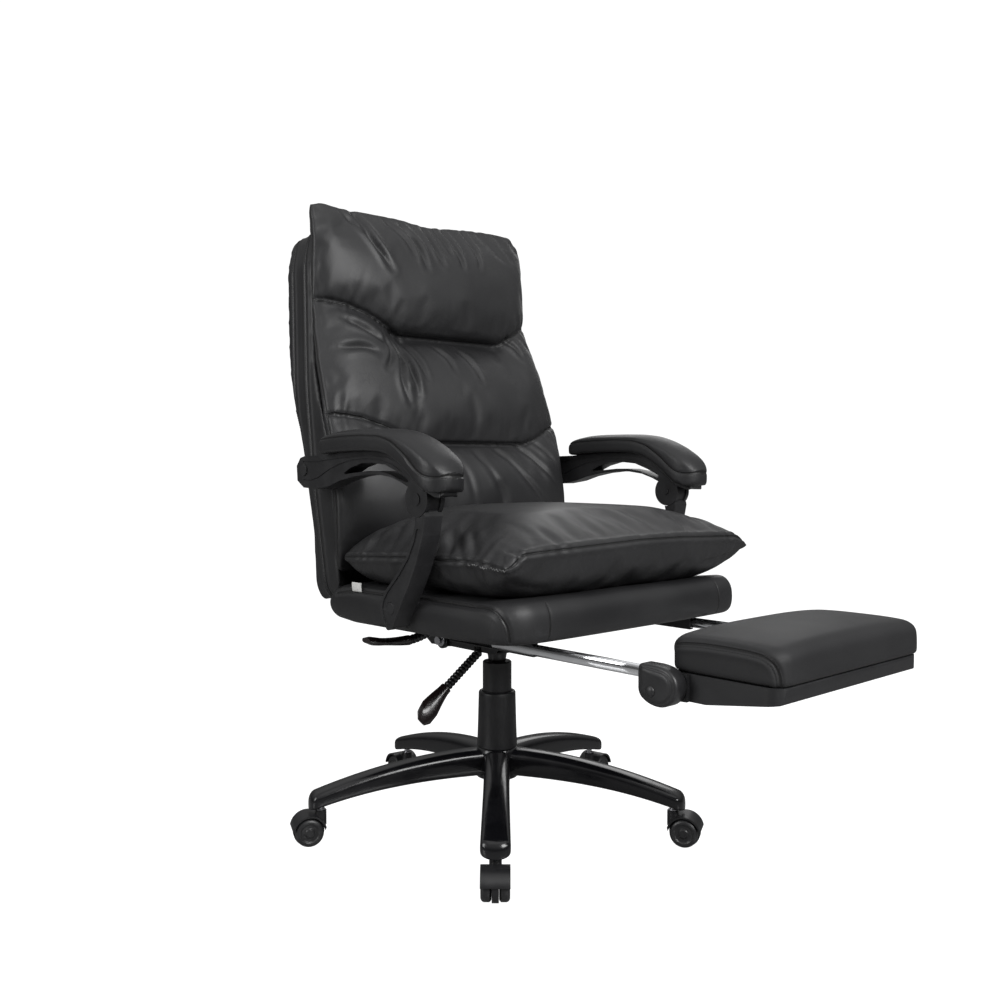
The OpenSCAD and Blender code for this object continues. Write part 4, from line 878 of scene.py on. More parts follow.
def stitchRow(name, surface, path, body, material=thread, long=stitchForm["long"], thick=stitchForm["thick"]):
    # one row of sewn stitches, each a small thread capsule lying on the surface
    bm = bmesh.new()
    for spot, ahead in evenPath(path, stitchForm["pitch"]):
        place, normal, _, _ = surface.find_nearest(spot)
        side = ahead.cross(normal).normalized()
        ahead = normal.cross(side).normalized()
        turn = Matrix((side, ahead, normal)).transposed().to_4x4()
        size = Matrix.Diagonal((thick, long, thick, 1))
        bmesh.ops.create_uvsphere(bm, u_segments=6, v_segments=4, radius=0.5,
                                  matrix=Matrix.Translation(place + normal * thick * 0.15) @ turn @ size)
    dress(meshPiece(name, bm), material, body, "leather")


def smoothed(piece, times):
    modifier = piece.modifiers.new("smooth", "SMOOTH")
    modifier.factor = 0.5
    modifier.iterations = times
    bake(piece)


def roundPlan(x, y, halfX, halfY, radius):
    # pulls the corners of a rectangle in to a radius
    dx, dy = abs(x) - (halfX - radius), abs(y) - (halfY - radius)
    if dx > 0 and dy > 0:
        pull = max(dx, dy) / math.hypot(dx, dy)
        dx, dy = dx * pull, dy * pull
        x = math.copysign(halfX - radius + dx, x)
        y = math.copysign(halfY - radius + dy, y)
    return x, y


# loose seat pillow: knife edge all round, pulled-out front corners, deep crown
seatPillowForm = {
    "front": -0.350, "deep": 0.446, "crown": 0.586, "base": 0.4687, "sink": 0.088, "cuts": 44, "voxel": 0.006,
    "heldBelow": 0.4700, "heldBeside": 0.0075,
    "halfWidth": [(-0.350, 0.303), (-0.300, 0.294), (-0.230, 0.2845), (0.0, 0.2845), (0.096, 0.2840)],
    "frontSeam": [(-0.303, 0.523), (-0.284, 0.529), (-0.268, 0.5445), (-0.240, 0.5460), (-0.111, 0.550),
                  (0.0, 0.553), (0.104, 0.552), (0.262, 0.546), (0.303, 0.536)],
    "sideSeam": [(-0.350, 0.524), (-0.300, 0.528), (-0.261, 0.530), (-0.176, 0.526), (-0.096, 0.525),
                 (0.096, 0.513)],
    "nearCorner": (-0.300, -0.345, 0.527), "farCorner": (0.303, -0.345, 0.537),
    "rearLimit": ([0.468, 0.487, 0.514, 0.540, 0.565, 0.600],   # heights, then the back pillow's face there
                  [0.100, 0.100, 0.096, 0.070, 0.048, 0.030]),
    "seam": [(-0.0026, 0, 0.0030), (0.0016, 0.0075, 0.004)],
    "tack": {"stitches": 24, "step": 0.0042, "start": (-0.300, -0.338, 0.5225), "climb": 0.02,
             "zigzag": 0.0019, "long": 0.0042, "thick": 0.0013},
    "cloth": {"stiffness": 22, "bending": 3.5, "pressure": 3.6, "slack": 0.016, "frames": 20, "cap": 0.016},
}


def seatPillowEdge(x, y, u, t):
    toFront, toSide = t + 1, 1 - abs(u)
    share = 0.5 if toFront + toSide < 1e-6 else toSide / (toFront + toSide)
    front, side = straight(x, seatPillowForm["frontSeam"]), straight(y, seatPillowForm["sideSeam"])
    return share * front + (1 - share) * side


def seatPillowPlace(u, t, w):
    form = seatPillowForm
    y = form["front"] + form["deep"] * (t + 1) / 2
    x = u * steps(y, form["halfWidth"])
    edge = seatPillowEdge(x, y, u, t)
    rise = max(0, (1 - abs(u) ** 3.2) * (1 - abs(t) ** (4.4 if t > 0 else 3.4))) ** 0.5
    fall = max(0, (1 - abs(u) ** 3.4) * (1 - abs(t) ** 4)) ** 0.50
    top = edge + 0.002 + (form["crown"] - edge) * rise
    low = max(form["base"], edge - 0.002 - form["sink"] * fall)
    return x, y + 0.004 * (1 - abs(w)), low + (top - low) * (w + 1) / 2


def edgeLoop(place, count):
    # points round the border of a cushion's cage
    up = [-1 + 2 * k / count for k in range(count)]
    down = [1 - 2 * k / count for k in range(count + 1)]
    walk = [(-1, t) for t in down[:-1]] + [(u, -1) for u in up]
    walk += [(1, t) for t in up] + [(u, 1) for u in down]
    return [Vector(place(u, t, 0.0)) for u, t in walk]


seatPillow = softBlock("seatPillow", seatPillowPlace, seatPillowForm)
seatEdge = edgeLoop(seatPillowPlace, seatPillowForm["cuts"])
smoothed(seatPillow, 2)


def seatHeld(points):
    atSeam = nearestOn(points, seatEdge)[0] < seatPillowForm["heldBeside"]
    return np.maximum(points[:, 2] < seatPillowForm["heldBelow"], atSeam)


inflate(seatPillow, seatPillowForm["cloth"], seatHeld)
smoothed(seatPillow, 8)
subdivide(seatPillow)
points, normals = readShape(seatPillow)
toSeam, alongSeam, _ = nearestOn(points, seatEdge)
nearCorner = np.exp(-(np.linalg.norm(points - seatPillowForm["nearCorner"], axis=1) / 0.13) ** 2)
farCorner = np.exp(-(np.linalg.norm(points - seatPillowForm["farCorner"], axis=1) / 0.10) ** 2)
sideness = np.clip(np.abs(normals[:, 0]) * 1.6, 0, 1)
gathered = sideness * (0.35 + 0.65 * np.clip((np.abs(points[:, 1] + 0.13) - 0.03) / 0.10, 0, 1))
seatGathers = [     # where, then depth, reach, spacing and seed
    (0.18 + 0.82 * gathered, 0.0024, 0.030, 0.027, 3),
    (nearCorner, 0.0040, 0.055, 0.034, 5),
    (farCorner, 0.0030, 0.045, 0.030, 6),
]
for mask, depth, reach, spacing, seed in seatGathers:
    points = pucker(points, normals, toSeam, alongSeam, mask, depth, reach, spacing, seed)
seatTopFolds = [   # x, y along each fold, then depth and width
    ([(-0.284, -0.262), (-0.262, -0.232), (-0.236, -0.196)], 0.0050, 0.0062),
    ([(-0.285, -0.232), (-0.266, -0.206), (-0.240, -0.168)], 0.0050, 0.0058),
    ([(-0.285, -0.200), (-0.262, -0.180), (-0.228, -0.140)], 0.0052, 0.0062),
    ([(-0.285, -0.160), (-0.266, -0.146), (-0.240, -0.118)], 0.0042, 0.0056),
    ([(-0.285, -0.120), (-0.262, -0.108), (-0.232, -0.084)], 0.0040, 0.0064),
    ([(-0.284, -0.040), (-0.248, -0.024), (-0.205, 0.010)], 0.0036, 0.0080),
    ([(-0.282, 0.010), (-0.250, 0.022), (-0.212, 0.040)], 0.0032, 0.0075),
    ([(-0.060, -0.345), (-0.045, -0.300), (-0.050, -0.255)], 0.0012, 0.0090),
    ([(0.050, -0.345), (0.064, -0.298), (0.060, -0.240)], 0.0012, 0.0090),
    ([(0.130, -0.345), (0.150, -0.290), (0.145, -0.230)], 0.0026, 0.0085),
    ([(0.210, -0.340), (0.214, -0.280), (0.190, -0.215)], 0.0030, 0.0085),
    ([(0.270, -0.322), (0.238, -0.270), (0.200, -0.235)], 0.0045, 0.0080),
    ([(0.284, -0.240), (0.240, -0.215), (0.205, -0.170)], 0.0040, 0.0080),
    ([(0.285, -0.140), (0.235, -0.125), (0.195, -0.085)], 0.0040, 0.0085),
    ([(0.284, -0.050), (0.230, -0.040), (0.180, -0.010)], 0.0040, 0.0090),
]
seatFrontFolds = [   # x, z along each fold, then depth and width
    ([(-0.272, 0.536), (-0.270, 0.550), (-0.273, 0.566), (-0.269, 0.584)], 0.0060, 0.0042),
    ([(-0.245, 0.552), (-0.225, 0.566), (-0.205, 0.588)], 0.0030, 0.0070),
    ([(-0.285, 0.505), (-0.240, 0.492), (-0.190, 0.486)], 0.0030, 0.0070),
    ([(0.285, 0.520), (0.230, 0.506), (0.170, 0.500)], 0.0030, 0.0070),
]
upward, forward = np.clip(normals[:, 2] * 1.5, 0, 1), np.clip(-normals[:, 1] * 1.8, 0, 1)
for folds, axes, mask in ((seatTopFolds, [0, 1], upward), (seatFrontFolds, [0, 2], forward)):
    flat = points[:, axes]
    for line, depth, width in folds:
        points = crease(points, normals, flat, mask, line, depth, width)
points = pushed(points, normals, waves(toSeam, *seatPillowForm["seam"]))
points[:, 2] = np.maximum(points[:, 2], seatPillowForm["base"] - 0.0002)
points[:, 1] = np.minimum(points[:, 1], np.interp(points[:, 2], *seatPillowForm["rearLimit"]))
writePoints(seatPillow.data, points)
storeSeams(seatPillow, [(seatEdge, lambda span: (0, 0, 1))])
dress(seatPillow, leather, "seat", "leather", ["seat_pillow"])
# grey zigzag thread that closes the near corner's side seam
tack = seatPillowForm["tack"]
cornerTack = []
for k in range(tack["stitches"]):
    away = tack["step"] * k
    sway = tack["zigzag"] if k % 2 else -tack["zigzag"]
    cornerTack.append(Vector(tack["start"]) + Vector((0, away, tack["climb"] * away + sway)))
stitchRow("seatCornerTack", surfaceOf(seatPillow), cornerTack, "seat", paleThread,
          long=tack["long"], thick=tack["thick"])
print("seat pillow sewn:", len(seatPillow.data.vertices), "points")


# back pillow: three crowned panels, written in the back's own frame and placed by fromBack
backPillowForm = {
    "low": 0.030, "high": 0.712, "rear": -0.0556, "cuts": 60, "voxel": 0.006,
    "heldBeside": 0.0075, "creaseHeld": 0.006, "foldDepth": 1.35, "foldWidth": 0.8,
    "creases": (0.261, 0.476),
    "lift": [(0.030, 0.0), (0.261, 0.049), (0.476, 0.054), (0.640, 0.012), (0.712, 0.0)],
    "liftAcross": [(-1.0, 1.06), (-0.80, 0.88), (-0.62, 0.56), (-0.50, 0.27), (-0.39, 0.0), (0.60, 0.0),
                   (0.69, 0.12), (0.80, 0.42), (0.90, 0.66), (1.0, 0.84)],
    "halfWidth": [(0.030, 0.280), (0.120, 0.2845), (0.300, 0.2845), (0.400, 0.279), (0.515, 0.266),
                  (0.712, 0.262)],
    "welt": [(0.030, -0.080), (0.060, -0.088), (0.100, -0.098), (0.141, -0.104), (0.234, -0.108),
             (0.280, -0.106), (0.357, -0.092), (0.470, -0.067), (0.528, -0.060), (0.645, -0.077),
             (0.712, -0.076)],
    "front": [(0.030, -0.092), (0.058, -0.102), (0.080, -0.130), (0.101, -0.152), (0.130, -0.162),
              (0.160, -0.163), (0.205, -0.156), (0.261, -0.140), (0.320, -0.136), (0.370, -0.132),
              (0.420, -0.120), (0.476, -0.106), (0.505, -0.118), (0.540, -0.119), (0.600, -0.117),
              (0.655, -0.109), (0.692, -0.094), (0.712, -0.080)],
    "dips": ((0.038, 0.026, 0.012), (0.054, 0.034, 0.011)),     # depth, then reach below and above
    "sag": 0.016,
    "topLine": [(-1.0, 0.0), (-0.88, 0.0045), (-0.66, -0.0024), (-0.60, 0.0004), (-0.23, 0.0),
                (0.05, -0.0063), (0.10, -0.0050), (0.40, 0.0030), (0.70, 0.0078), (0.93, 0.0069),
                (1.0, 0.0)],
    "corners": (0.010, 0.030), "lowCorner": 0.012,
    "lowLimit": ([0.014, 0.032, 0.058, 0.080, 0.101, 0.133, 0.160],      # heights, then the frontmost y there
                 [-0.091, -0.094, -0.102, -0.131, -0.157, -0.181, -0.250]),
    "seam": [(-0.0014, 0, 0.0030), (0.0012, 0.007, 0.004)],
    "cloth": {"stiffness": 22, "bending": 3.5, "pressure": 3.6, "slack": 0.012, "frames": 20, "cap": 0.014},
}


def backPillowLocal(u, t, w):
    form = backPillowForm
    flat = form["low"] + (form["high"] - form["low"]) * (t + 1) / 2
    v = flat + straight(flat, form["lift"]) * straight(u, form["liftAcross"])
    half = straight(v, form["halfWidth"])
    welt = straight(v, form["welt"])
    front = straight(flat, form["front"])
    middle = 1 - 0.72 * steps(abs(u * half - 0.035), [(0.118, 0.0), (0.178, 1.0)])
    for level, (depth, below, above) in zip(form["creases"], form["dips"]):
        front += depth * middle * math.exp(-abs(flat - level) / (below if flat < level else above))
        v -= form["sag"] * middle * math.exp(-((flat - level - 0.020) / 0.018) ** 2) * max(0, w)
    out = max(0, (1 - abs(u) ** 2.8) * (1 - abs(t) ** 14)) ** 0.5
    back = max(0, (1 - abs(u) ** 7) * (1 - abs(t) ** 9)) ** 0.5
    face = welt - 0.002 + (front - welt) * out
    rear = welt + 0.002 + (form["rear"] - welt) * back
    middleV, halfV = (form["low"] + form["high"]) / 2, (form["high"] - form["low"]) / 2
    corner = form["corners"][u > 0] if t > 0 else form["lowCorner"]
    x, rise = roundPlan(u * half, v - middleV, half, halfV, corner)
    topLine = straight(u, form["topLine"]) * max(0, t) ** 5
    return x, rear + (face - rear) * (w + 1) / 2, middleV + rise + topLine


def backPillowPlace(u, t, w):
    return fromBack(*backPillowLocal(u, t, w))


def intoBack(points):
    # the other way round from fromBack, for an array of points
    c, s = math.cos(backLean), math.sin(backLean)
    y, z = points[:, 1] - backRoot.y, points[:, 2] - backRoot.z
    return np.stack([points[:, 0], y * c - z * s, y * s + z * c], axis=1)


def outOfBack(local):
    c, s = math.cos(backLean), math.sin(backLean)
    return np.stack([local[:, 0], backRoot.y + local[:, 1] * c + local[:, 2] * s,
                     backRoot.z - local[:, 1] * s + local[:, 2] * c], axis=1)


def creaseLine(level):
    # the sewn line between two panels, on the pillow's face
    t = 2 * (level - backPillowForm["low"]) / (backPillowForm["high"] - backPillowForm["low"]) - 1
    return [backPillowLocal(-1 + k / 24, t, 1) for k in range(49)]


backPillow = softBlock("backPillow", backPillowPlace, backPillowForm)
backEdge = edgeLoop(backPillowPlace, backPillowForm["cuts"])
backCreases = [creaseLine(level) for level in backPillowForm["creases"]]
flatCreases = [[(x, v) for x, _, v in line] for line in backCreases]
smoothed(backPillow, 2)


def backHeld(points):
    form, local = backPillowForm, intoBack(points)
    atSeam = nearestOn(points, backEdge)[0] < form["heldBeside"]
    held = np.maximum(local[:, 1] > form["rear"] - 0.002, atSeam)
    for line in flatCreases:
        near = nearestOn(local[:, [0, 2]], line)[0]
        held = np.maximum(held, (near < form["creaseHeld"]) & (local[:, 1] < -0.058))
    return held


inflate(backPillow, backPillowForm["cloth"], backHeld)
smoothed(backPillow, 5)
subdivide(backPillow)
points, normals = readShape(backPillow)
local = intoBack(points)
facing = np.clip((-normals[:, 1] * math.cos(backLean) + normals[:, 2] * math.sin(backLean)) * 1.5, 0, 1)
flatBack = local[:, [0, 2]]
toSeam, alongSeam, _ = nearestOn(points, backEdge)
topEdge = np.clip((local[:, 2] - 0.60) / 0.10, 0, 1)
points = pucker(points, normals, toSeam, alongSeam, 0.12 + 0.5 * topEdge,
                depth=0.0022, reach=0.026, spacing=0.034, seed=11)
for number, line in enumerate(flatCreases):
    near, along, whole = nearestOn(flatBack, line)
    atEnds = np.clip(1 - (1 - np.abs(2 * along / whole - 1)) * 2.2, 0, 1)
    mask = facing * (0.25 + 0.75 * atEnds)
    points = pucker(points, normals, near, along, mask,
                    depth=0.0034, reach=0.034, spacing=0.024, seed=17 + number)
backFolds = [   # x, v along each fold, then depth and width
    ([(-0.172, 0.705), (-0.151, 0.654), (-0.121, 0.589)], 0.0060, 0.0075),
    ([(-0.196, 0.700), (-0.160, 0.655), (-0.140, 0.620)], 0.0035, 0.0060),
    ([(-0.065, 0.702), (-0.042, 0.649), (-0.036, 0.600)], 0.0055, 0.0075),
    ([(-0.100, 0.700), (-0.070, 0.660), (-0.060, 0.625)], 0.0030, 0.0060),
    ([(-0.003, 0.699), (0.002, 0.655), (0.009, 0.615)], 0.0060, 0.0065),
    ([(0.046, 0.703), (0.062, 0.638), (0.060, 0.612)], 0.0045, 0.0060),
    ([(0.024, 0.700), (0.034, 0.668), (0.040, 0.640)], 0.0030, 0.0050),
    ([(0.100, 0.707), (0.113, 0.645), (0.108, 0.620)], 0.0045, 0.0060),
    ([(-0.127, 0.466), (-0.114, 0.422), (-0.129, 0.373), (-0.121, 0.326)], 0.0060, 0.0070),
    ([(-0.110, 0.471), (-0.097, 0.423), (-0.099, 0.346)], 0.0055, 0.0065),
    ([(-0.140, 0.470), (-0.136, 0.430), (-0.160, 0.395)], 0.0045, 0.0060),
    ([(-0.085, 0.468), (-0.072, 0.425), (-0.070, 0.380)], 0.0035, 0.0060),
    ([(-0.225, 0.493), (-0.180, 0.474), (-0.141, 0.449)], 0.0050, 0.0075),
    ([(-0.248, 0.432), (-0.200, 0.436), (-0.166, 0.428)], 0.0050, 0.0080),
    ([(-0.019, 0.458), (0.002, 0.430), (0.006, 0.400)], 0.0028, 0.0060),
    ([(0.044, 0.453), (0.064, 0.409), (0.068, 0.380)], 0.0040, 0.0065),
    ([(0.180, 0.492), (0.205, 0.470), (0.215, 0.445)], 0.0035, 0.0060),
    ([(-0.225, 0.285), (-0.180, 0.262), (-0.150, 0.235)], 0.0035, 0.0070),
    ([(0.080, 0.255), (0.130, 0.190), (0.190, 0.120)], 0.0034, 0.0080),
    ([(0.150, 0.262), (0.190, 0.215), (0.225, 0.175)], 0.0030, 0.0065),
    ([(0.190, 0.268), (0.222, 0.240), (0.245, 0.215)], 0.0024, 0.0060),
    ([(-0.040, 0.250), (-0.020, 0.200), (-0.010, 0.140)], 0.0016, 0.0080),
    ([(0.020, 0.250), (0.050, 0.180), (0.080, 0.120)], 0.0018, 0.0080),
]
for line, depth, width in backFolds:
    depth, width = depth * backPillowForm["foldDepth"], width * backPillowForm["foldWidth"]
    points = crease(points, normals, flatBack, facing, line, depth, width)
for line in flatCreases:
    near = nearestOn(flatBack, line)[0]
    points = pushed(points, normals, facing * waves(near, (-0.0050, 0, 0.0040)))
points = pushed(points, normals, waves(toSeam, *backPillowForm["seam"]))
local = intoBack(points)
local[:, 1] = np.minimum(local[:, 1], backPillowForm["rear"])
local[:, 1] = np.maximum(local[:, 1], np.interp(local[:, 2], *backPillowForm["lowLimit"]))
writePoints(backPillow.data, outOfBack(local))
surface = surfaceOf(backPillow)
creasePaths = [snapPath(surface, [fromBack(*p) for p in line]) for line in backCreases]
upBack = (0, math.sin(backLean), math.cos(backLean))
backSeams = [(backEdge, lambda span: (0, -1, 0))]
storeSeams(backPillow, backSeams + [(path, lambda span: upBack) for path in creasePaths])
dress(backPillow, leather, "back", "leather", ["back_pillow"])
print("back pillow sewn:", len(backPillow.data.vertices), "points")


# upholstered seat base: a soft block round the board, open underneath
seatBaseForm = {
    "halfX": 0.2855, "front": -0.3455, "rear": 0.1500, "corner": 0.046, "bow": 0.010,
    "topRound": 0.021, "lowRound": 0.011, "cuts": 40, "voxel": 0.0045,
    "low": [(-0.3455, 0.4085), (-0.20, 0.4030), (0.06, 0.4005), (0.110, 0.4050), (0.150, 0.4130)],
    "top": [(-0.3455, 0.4760), (-0.310, 0.4740), (-0.260, 0.4682), (0.060, 0.4680), (0.095, 0.4650),
            (0.125, 0.4560), (0.150, 0.4420)],
    "boardRecess": 0.4195, "lip": 0.024,
    "clearFrom": 0.080, "clearDeep": 0.036, "clearSide": [(0.075, 0.0), (0.150, 1.0)],  # room for the bracket
    "swell": {"from": 0.405, "high": 0.066, "out": 0.0055},
    "lowWave": {"below": 0.425, "reach": 0.012, "rise": 0.0022, "spacing": 0.055},
    "sidePanel": [(-0.288, 0.100, 0.450), (-0.288, 0.047, 0.4600), (-0.288, -0.019, 0.4630),
                  (-0.288, -0.100, 0.4680), (-0.288, -0.163, 0.4690), (-0.288, -0.225, 0.4690),
                  (-0.288, -0.276, 0.4680), (-0.288, -0.306, 0.4600), (-0.286, -0.322, 0.4480),
                  (-0.284, -0.330, 0.4320), (-0.284, -0.333, 0.4120)],
    "sideSeam": [(-0.0018, 0, 0.0020), (-0.0008, 0.0042, 0.0014), (0.0006, 0.008, 0.004)],
    "frontSeamX": 0.211, "frontSeam": [(-0.0014, 0, 0.0016)], "stitchAway": 0.0042,
}


def seatBasePlace(u, t, w):
    form = seatBaseForm
    halfY = (form["rear"] - form["front"]) / 2
    middle = (form["rear"] + form["front"]) / 2
    x, y = roundPlan(u * form["halfX"], t * halfY, form["halfX"], halfY, form["corner"])
    inset = min(form["halfX"] * (1 - abs(u)), halfY * (1 - abs(t)))
    top, low = straight(middle + y, form["top"]), straight(middle + y, form["low"])
    atRear = max(0, (middle + y - form["clearFrom"]) / (form["rear"] - form["clearFrom"]))
    y -= form["clearDeep"] * atRear * (1 - steps(abs(x), form["clearSide"]))
    if w < -0.999:
        low += (form["boardRecess"] - low) * min(1, max(0, (inset - form["lip"]) / 0.004))
    return x, middle + y, low + (top - low) * (w + 1) / 2


def sideLines(points):
    # the same line on the right side and, mirrored, on the left
    right = [Vector(p) for p in points]
    return [right, [Vector((-p.x, p.y, p.z)) for p in right]]


def roundEdge(points, middle, half, corner, level, radius, up):
    # rounds a block over where its sides meet its top (up 1) or its underside (up -1)
    place = points[:, :2] - middle
    beyond = np.abs(place) - (np.array(half) - corner)
    out = np.maximum(beyond, 0)
    reach = np.linalg.norm(out, axis=1)
    flat = np.where((beyond[:, 0] > beyond[:, 1])[:, None], [[1.0, 0.0]], [[0.0, 1.0]])
    away = np.where(reach[:, None] > 1e-7, out / np.maximum(reach, 1e-7)[:, None], flat) * np.sign(place)
    depth = corner - reach - np.minimum(beyond.max(axis=1), 0)
    below = (level - points[:, 2]) * up
    a, b = radius - depth, radius - below
    far = np.hypot(a, b)
    move = (a > 0) & (b > 0) & (far > radius)
    pull = np.where(move, 1 - radius / np.maximum(far, 1e-9), 0)
    points[:, :2] -= away * (a * pull)[:, None]
    points[:, 2] -= up * b * pull


seatBase = softBlock("seatBase", seatBasePlace, seatBaseForm)
points = readPoints(seatBase.data)
seatMiddle = (0.0, (seatBaseForm["rear"] + seatBaseForm["front"]) / 2)
seatHalf = (seatBaseForm["halfX"], (seatBaseForm["rear"] - seatBaseForm["front"]) / 2)
for line, radius, up in (("top", seatBaseForm["topRound"], 1), ("low", seatBaseForm["lowRound"], -1)):
    level = np.interp(points[:, 1], *zip(*seatBaseForm[line]))
    roundEdge(points, seatMiddle, seatHalf, seatBaseForm["corner"], level, radius, up)
ahead = np.clip(-(points[:, 1] - seatMiddle[1]) / seatHalf[1], 0, 1)
points[:, 1] += seatBaseForm["bow"] * np.abs(points[:, 0] / seatHalf[0]) ** 4 * ahead ** 2
writePoints(seatBase.data, points)
smoothed(seatBase, 5)
points, normals = readShape(seatBase)
sideways = np.clip(1 - np.abs(normals[:, 2]) * 1.3, 0, 1)
swell, lowWave = seatBaseForm["swell"], seatBaseForm["lowWave"]
height = np.clip((points[:, 2] - swell["from"]) / swell["high"], 0, 1)
points = pushed(points, normals, sideways * swell["out"] * np.sin(np.pi * height))
lowEdge = np.clip((lowWave["below"] - points[:, 2]) / lowWave["reach"], 0, 1)
around = np.arctan2(points[:, 1] + 0.115, points[:, 0])
points[:, 2] += lowEdge * sideways * lowWave["rise"] * (ripple(around * 0.3, lowWave["spacing"], 4) - 0.3)
writePoints(seatBase.data, points)
subdivide(seatBase)
baseSurface = surfaceOf(seatBase)
frontLine = [Vector((-seatBaseForm["frontSeamX"], -0.352, 0.478 - k * 0.0045)) for k in range(17)]
sideSeams = [snapPath(baseSurface, path) for path in sideLines(smoothPath(seatBaseForm["sidePanel"], 6))]
frontSeams = [snapPath(baseSurface, path) for path in sideLines(frontLine)]
points, normals = readShape(seatBase)
for paths, shape in ((sideSeams, "sideSeam"), (frontSeams, "frontSeam")):
    for path in paths:
        points = pushed(points, normals, waves(nearestOn(points, path)[0], *seatBaseForm[shape]))
writePoints(seatBase.data, points)
baseSeams = [(path, upFromRow) for path in sideSeams]
storeSeams(seatBase, baseSeams + [(path, lambda span: (1, 0, 0)) for path in frontSeams])
dress(seatBase, firmLeather, "seat", "leather", ["seat_base"])
baseSurface = surfaceOf(seatBase)
for number, path in enumerate(sideSeams):
    for row, shift in enumerate((seatBaseForm["stitchAway"], -seatBaseForm["stitchAway"])):
        # the rows lie above and below the seam, and before and behind it where it turns down
        moved = [p + Vector((0, 0, shift) if p.z > 0.452 else (0, shift, 0)) for p in path]
        stitchRow(f"baseStitches{number}_{row}", baseSurface, moved, "seat")
print("seat base sewn")


# padded back shell with a top-stitched joint between its side band and its front
backShellForm = {
    "front": -0.0550, "deep": 0.080, "middle": 0.330, "halfHigh": 0.3425, "corner": 0.011, "crown": 0.003,
    "cuts": 40, "voxel": 0.0042,
    "halfWidth": [(-0.012, 0.264), (0.020, 0.272), (0.220, 0.276), (0.380, 0.272), (0.612, 0.252),
                  (0.672, 0.234)],
    "rear": [(-0.012, 0.0), (0.020, 0.009), (0.110, -0.004), (0.250, -0.005), (0.400, 0.004), (0.480, 0.008),
             (0.590, 0.008), (0.648, 0.008), (0.672, 0.008)],
    "edgeDrop": [(-0.012, 0.020), (0.020, 0.033), (0.110, 0.034), (0.250, 0.025), (0.350, 0.010),
                 (0.420, 0.0), (0.672, 0.0)],
    "sideLip": [(-0.012, 0.010), (0.020, 0.020), (0.110, 0.034), (0.250, 0.036), (0.330, 0.018),
                (0.420, 0.0)],
    "seamDepths": (-0.034, 0.008), "seam": [(-0.0020, 0, 0.0026), (0.0014, 0.0065, 0.004)],
    "stitchBehind": 0.0044,
}


def backShellPlace(u, t, w):
    # u across, t up the back, w rearward
    form = backShellForm
    v = form["middle"] + form["halfHigh"] * t
    half = straight(v, form["halfWidth"])
    rear = form["front"] + form["deep"] + straight(v, form["rear"])
    rear -= straight(v, form["edgeDrop"]) * abs(u) ** 5
    x, up = roundPlan(u * half, form["halfHigh"] * t, half, form["halfHigh"], form["corner"])
    front = form["front"] - straight(v, form["sideLip"]) * abs(u) ** 10
    y = front + (rear - front) * (w + 1) / 2
    if w > 0.999:
        y += form["crown"] * (1 - u * u) * (1 - t * t)
    return fromBack(x, y, form["middle"] + up)


backShell = softBlock("backShell", backShellPlace, backShellForm)
smoothed(backShell, 13)
subdivide(backShell)
shellSurface = surfaceOf(backShell)


def shellLoop(y):
    # a line round the shell's two sides and its top, at one depth
    heights = [-0.02 + 0.03 * k for k in range(21)]
    side = [(-straight(v, backShellForm["halfWidth"]) - 0.004, y, v) for v in heights]
    side += [(-0.244, y, 0.648), (-0.236, y, 0.668), (-0.216, y, 0.678)]
    across = [(-0.16 + 0.04 * k, y, 0.678) for k in range(9)]
    return [fromBack(*p) for p in side + across + [(-x, y, v) for x, y, v in reversed(side)]]


shellSeams = []
for depth in backShellForm["seamDepths"]:
    path = snapPath(shellSurface, smoothPath(shellLoop(depth), 3))
    shellSeams.append((path, lambda span: (0, math.cos(backLean), -math.sin(backLean))))
points, normals = readShape(backShell)
for path, _ in shellSeams:
    points = pushed(points, normals, waves(nearestOn(points, path)[0], *backShellForm["seam"]))
writePoints(backShell.data, points)
storeSeams(backShell, shellSeams)
dress(backShell, firmLeather, "back", "leather", ["back_shell"])
shellSurface = surfaceOf(backShell)
behind = fromBack(0, backShellForm["stitchBehind"], 0) - fromBack(0, 0, 0)
for number, (path, _) in enumerate(shellSeams):
    stitchRow(f"shellStitches{number}", shellSurface, [p + behind for p in path], "back")
print("back shell sewn")


# arm pads: firm foam under leather, blunt at the nose and curling down over the barrel
armPadForm = {
    "barTop": [(-0.243, 0.635), (-0.232, 0.632), (-0.215, 0.633), (-0.200, 0.638), (-0.185, 0.649),
               (-0.167, 0.664), (-0.150, 0.675), (-0.132, 0.685), (-0.115, 0.691), (-0.095, 0.695),
               (-0.050, 0.697), (0.0, 0.696), (0.040, 0.694), (0.080, 0.691), (0.115, 0.690)],
    "crown": [(-0.2405, 0.662), (-0.232, 0.676), (-0.224, 0.6855), (-0.210, 0.696), (-0.186, 0.7095),
              (-0.160, 0.7205), (-0.130, 0.729), (-0.100, 0.7325), (-0.060, 0.7335), (0.0, 0.7335),
              (0.030, 0.732), (0.062, 0.727), (0.078, 0.719), (0.0845, 0.709)],
    "rear": 0.0845, "front": -0.2405, "width": 0.0765, "middle": 0.3058, "nose": 0.047, "tail": 0.018,
    "endSquare": 2.2, "seamRise": 0.0245, "edgeDrop": 0.21, "spread": 0.96, "cuts": 34, "voxel": 0.0032,
    "bedGap": 0.0006, "bedLift": 0.003, "bedLiftLong": 0.018,
    "seamPlaces": [0.0843, 0.0830, 0.080, 0.074, 0.066, *[0.055 - 0.0125 * k for k in range(21)],
                   -0.205, -0.214, -0.222, -0.229, -0.234, -0.2375, -0.2398],
    "seam": [(-0.0009, 0, 0.0018), (0.0003, 0.0062, 0.0036)], "flankWave": (0.0003, 0.013, 0.006),
}


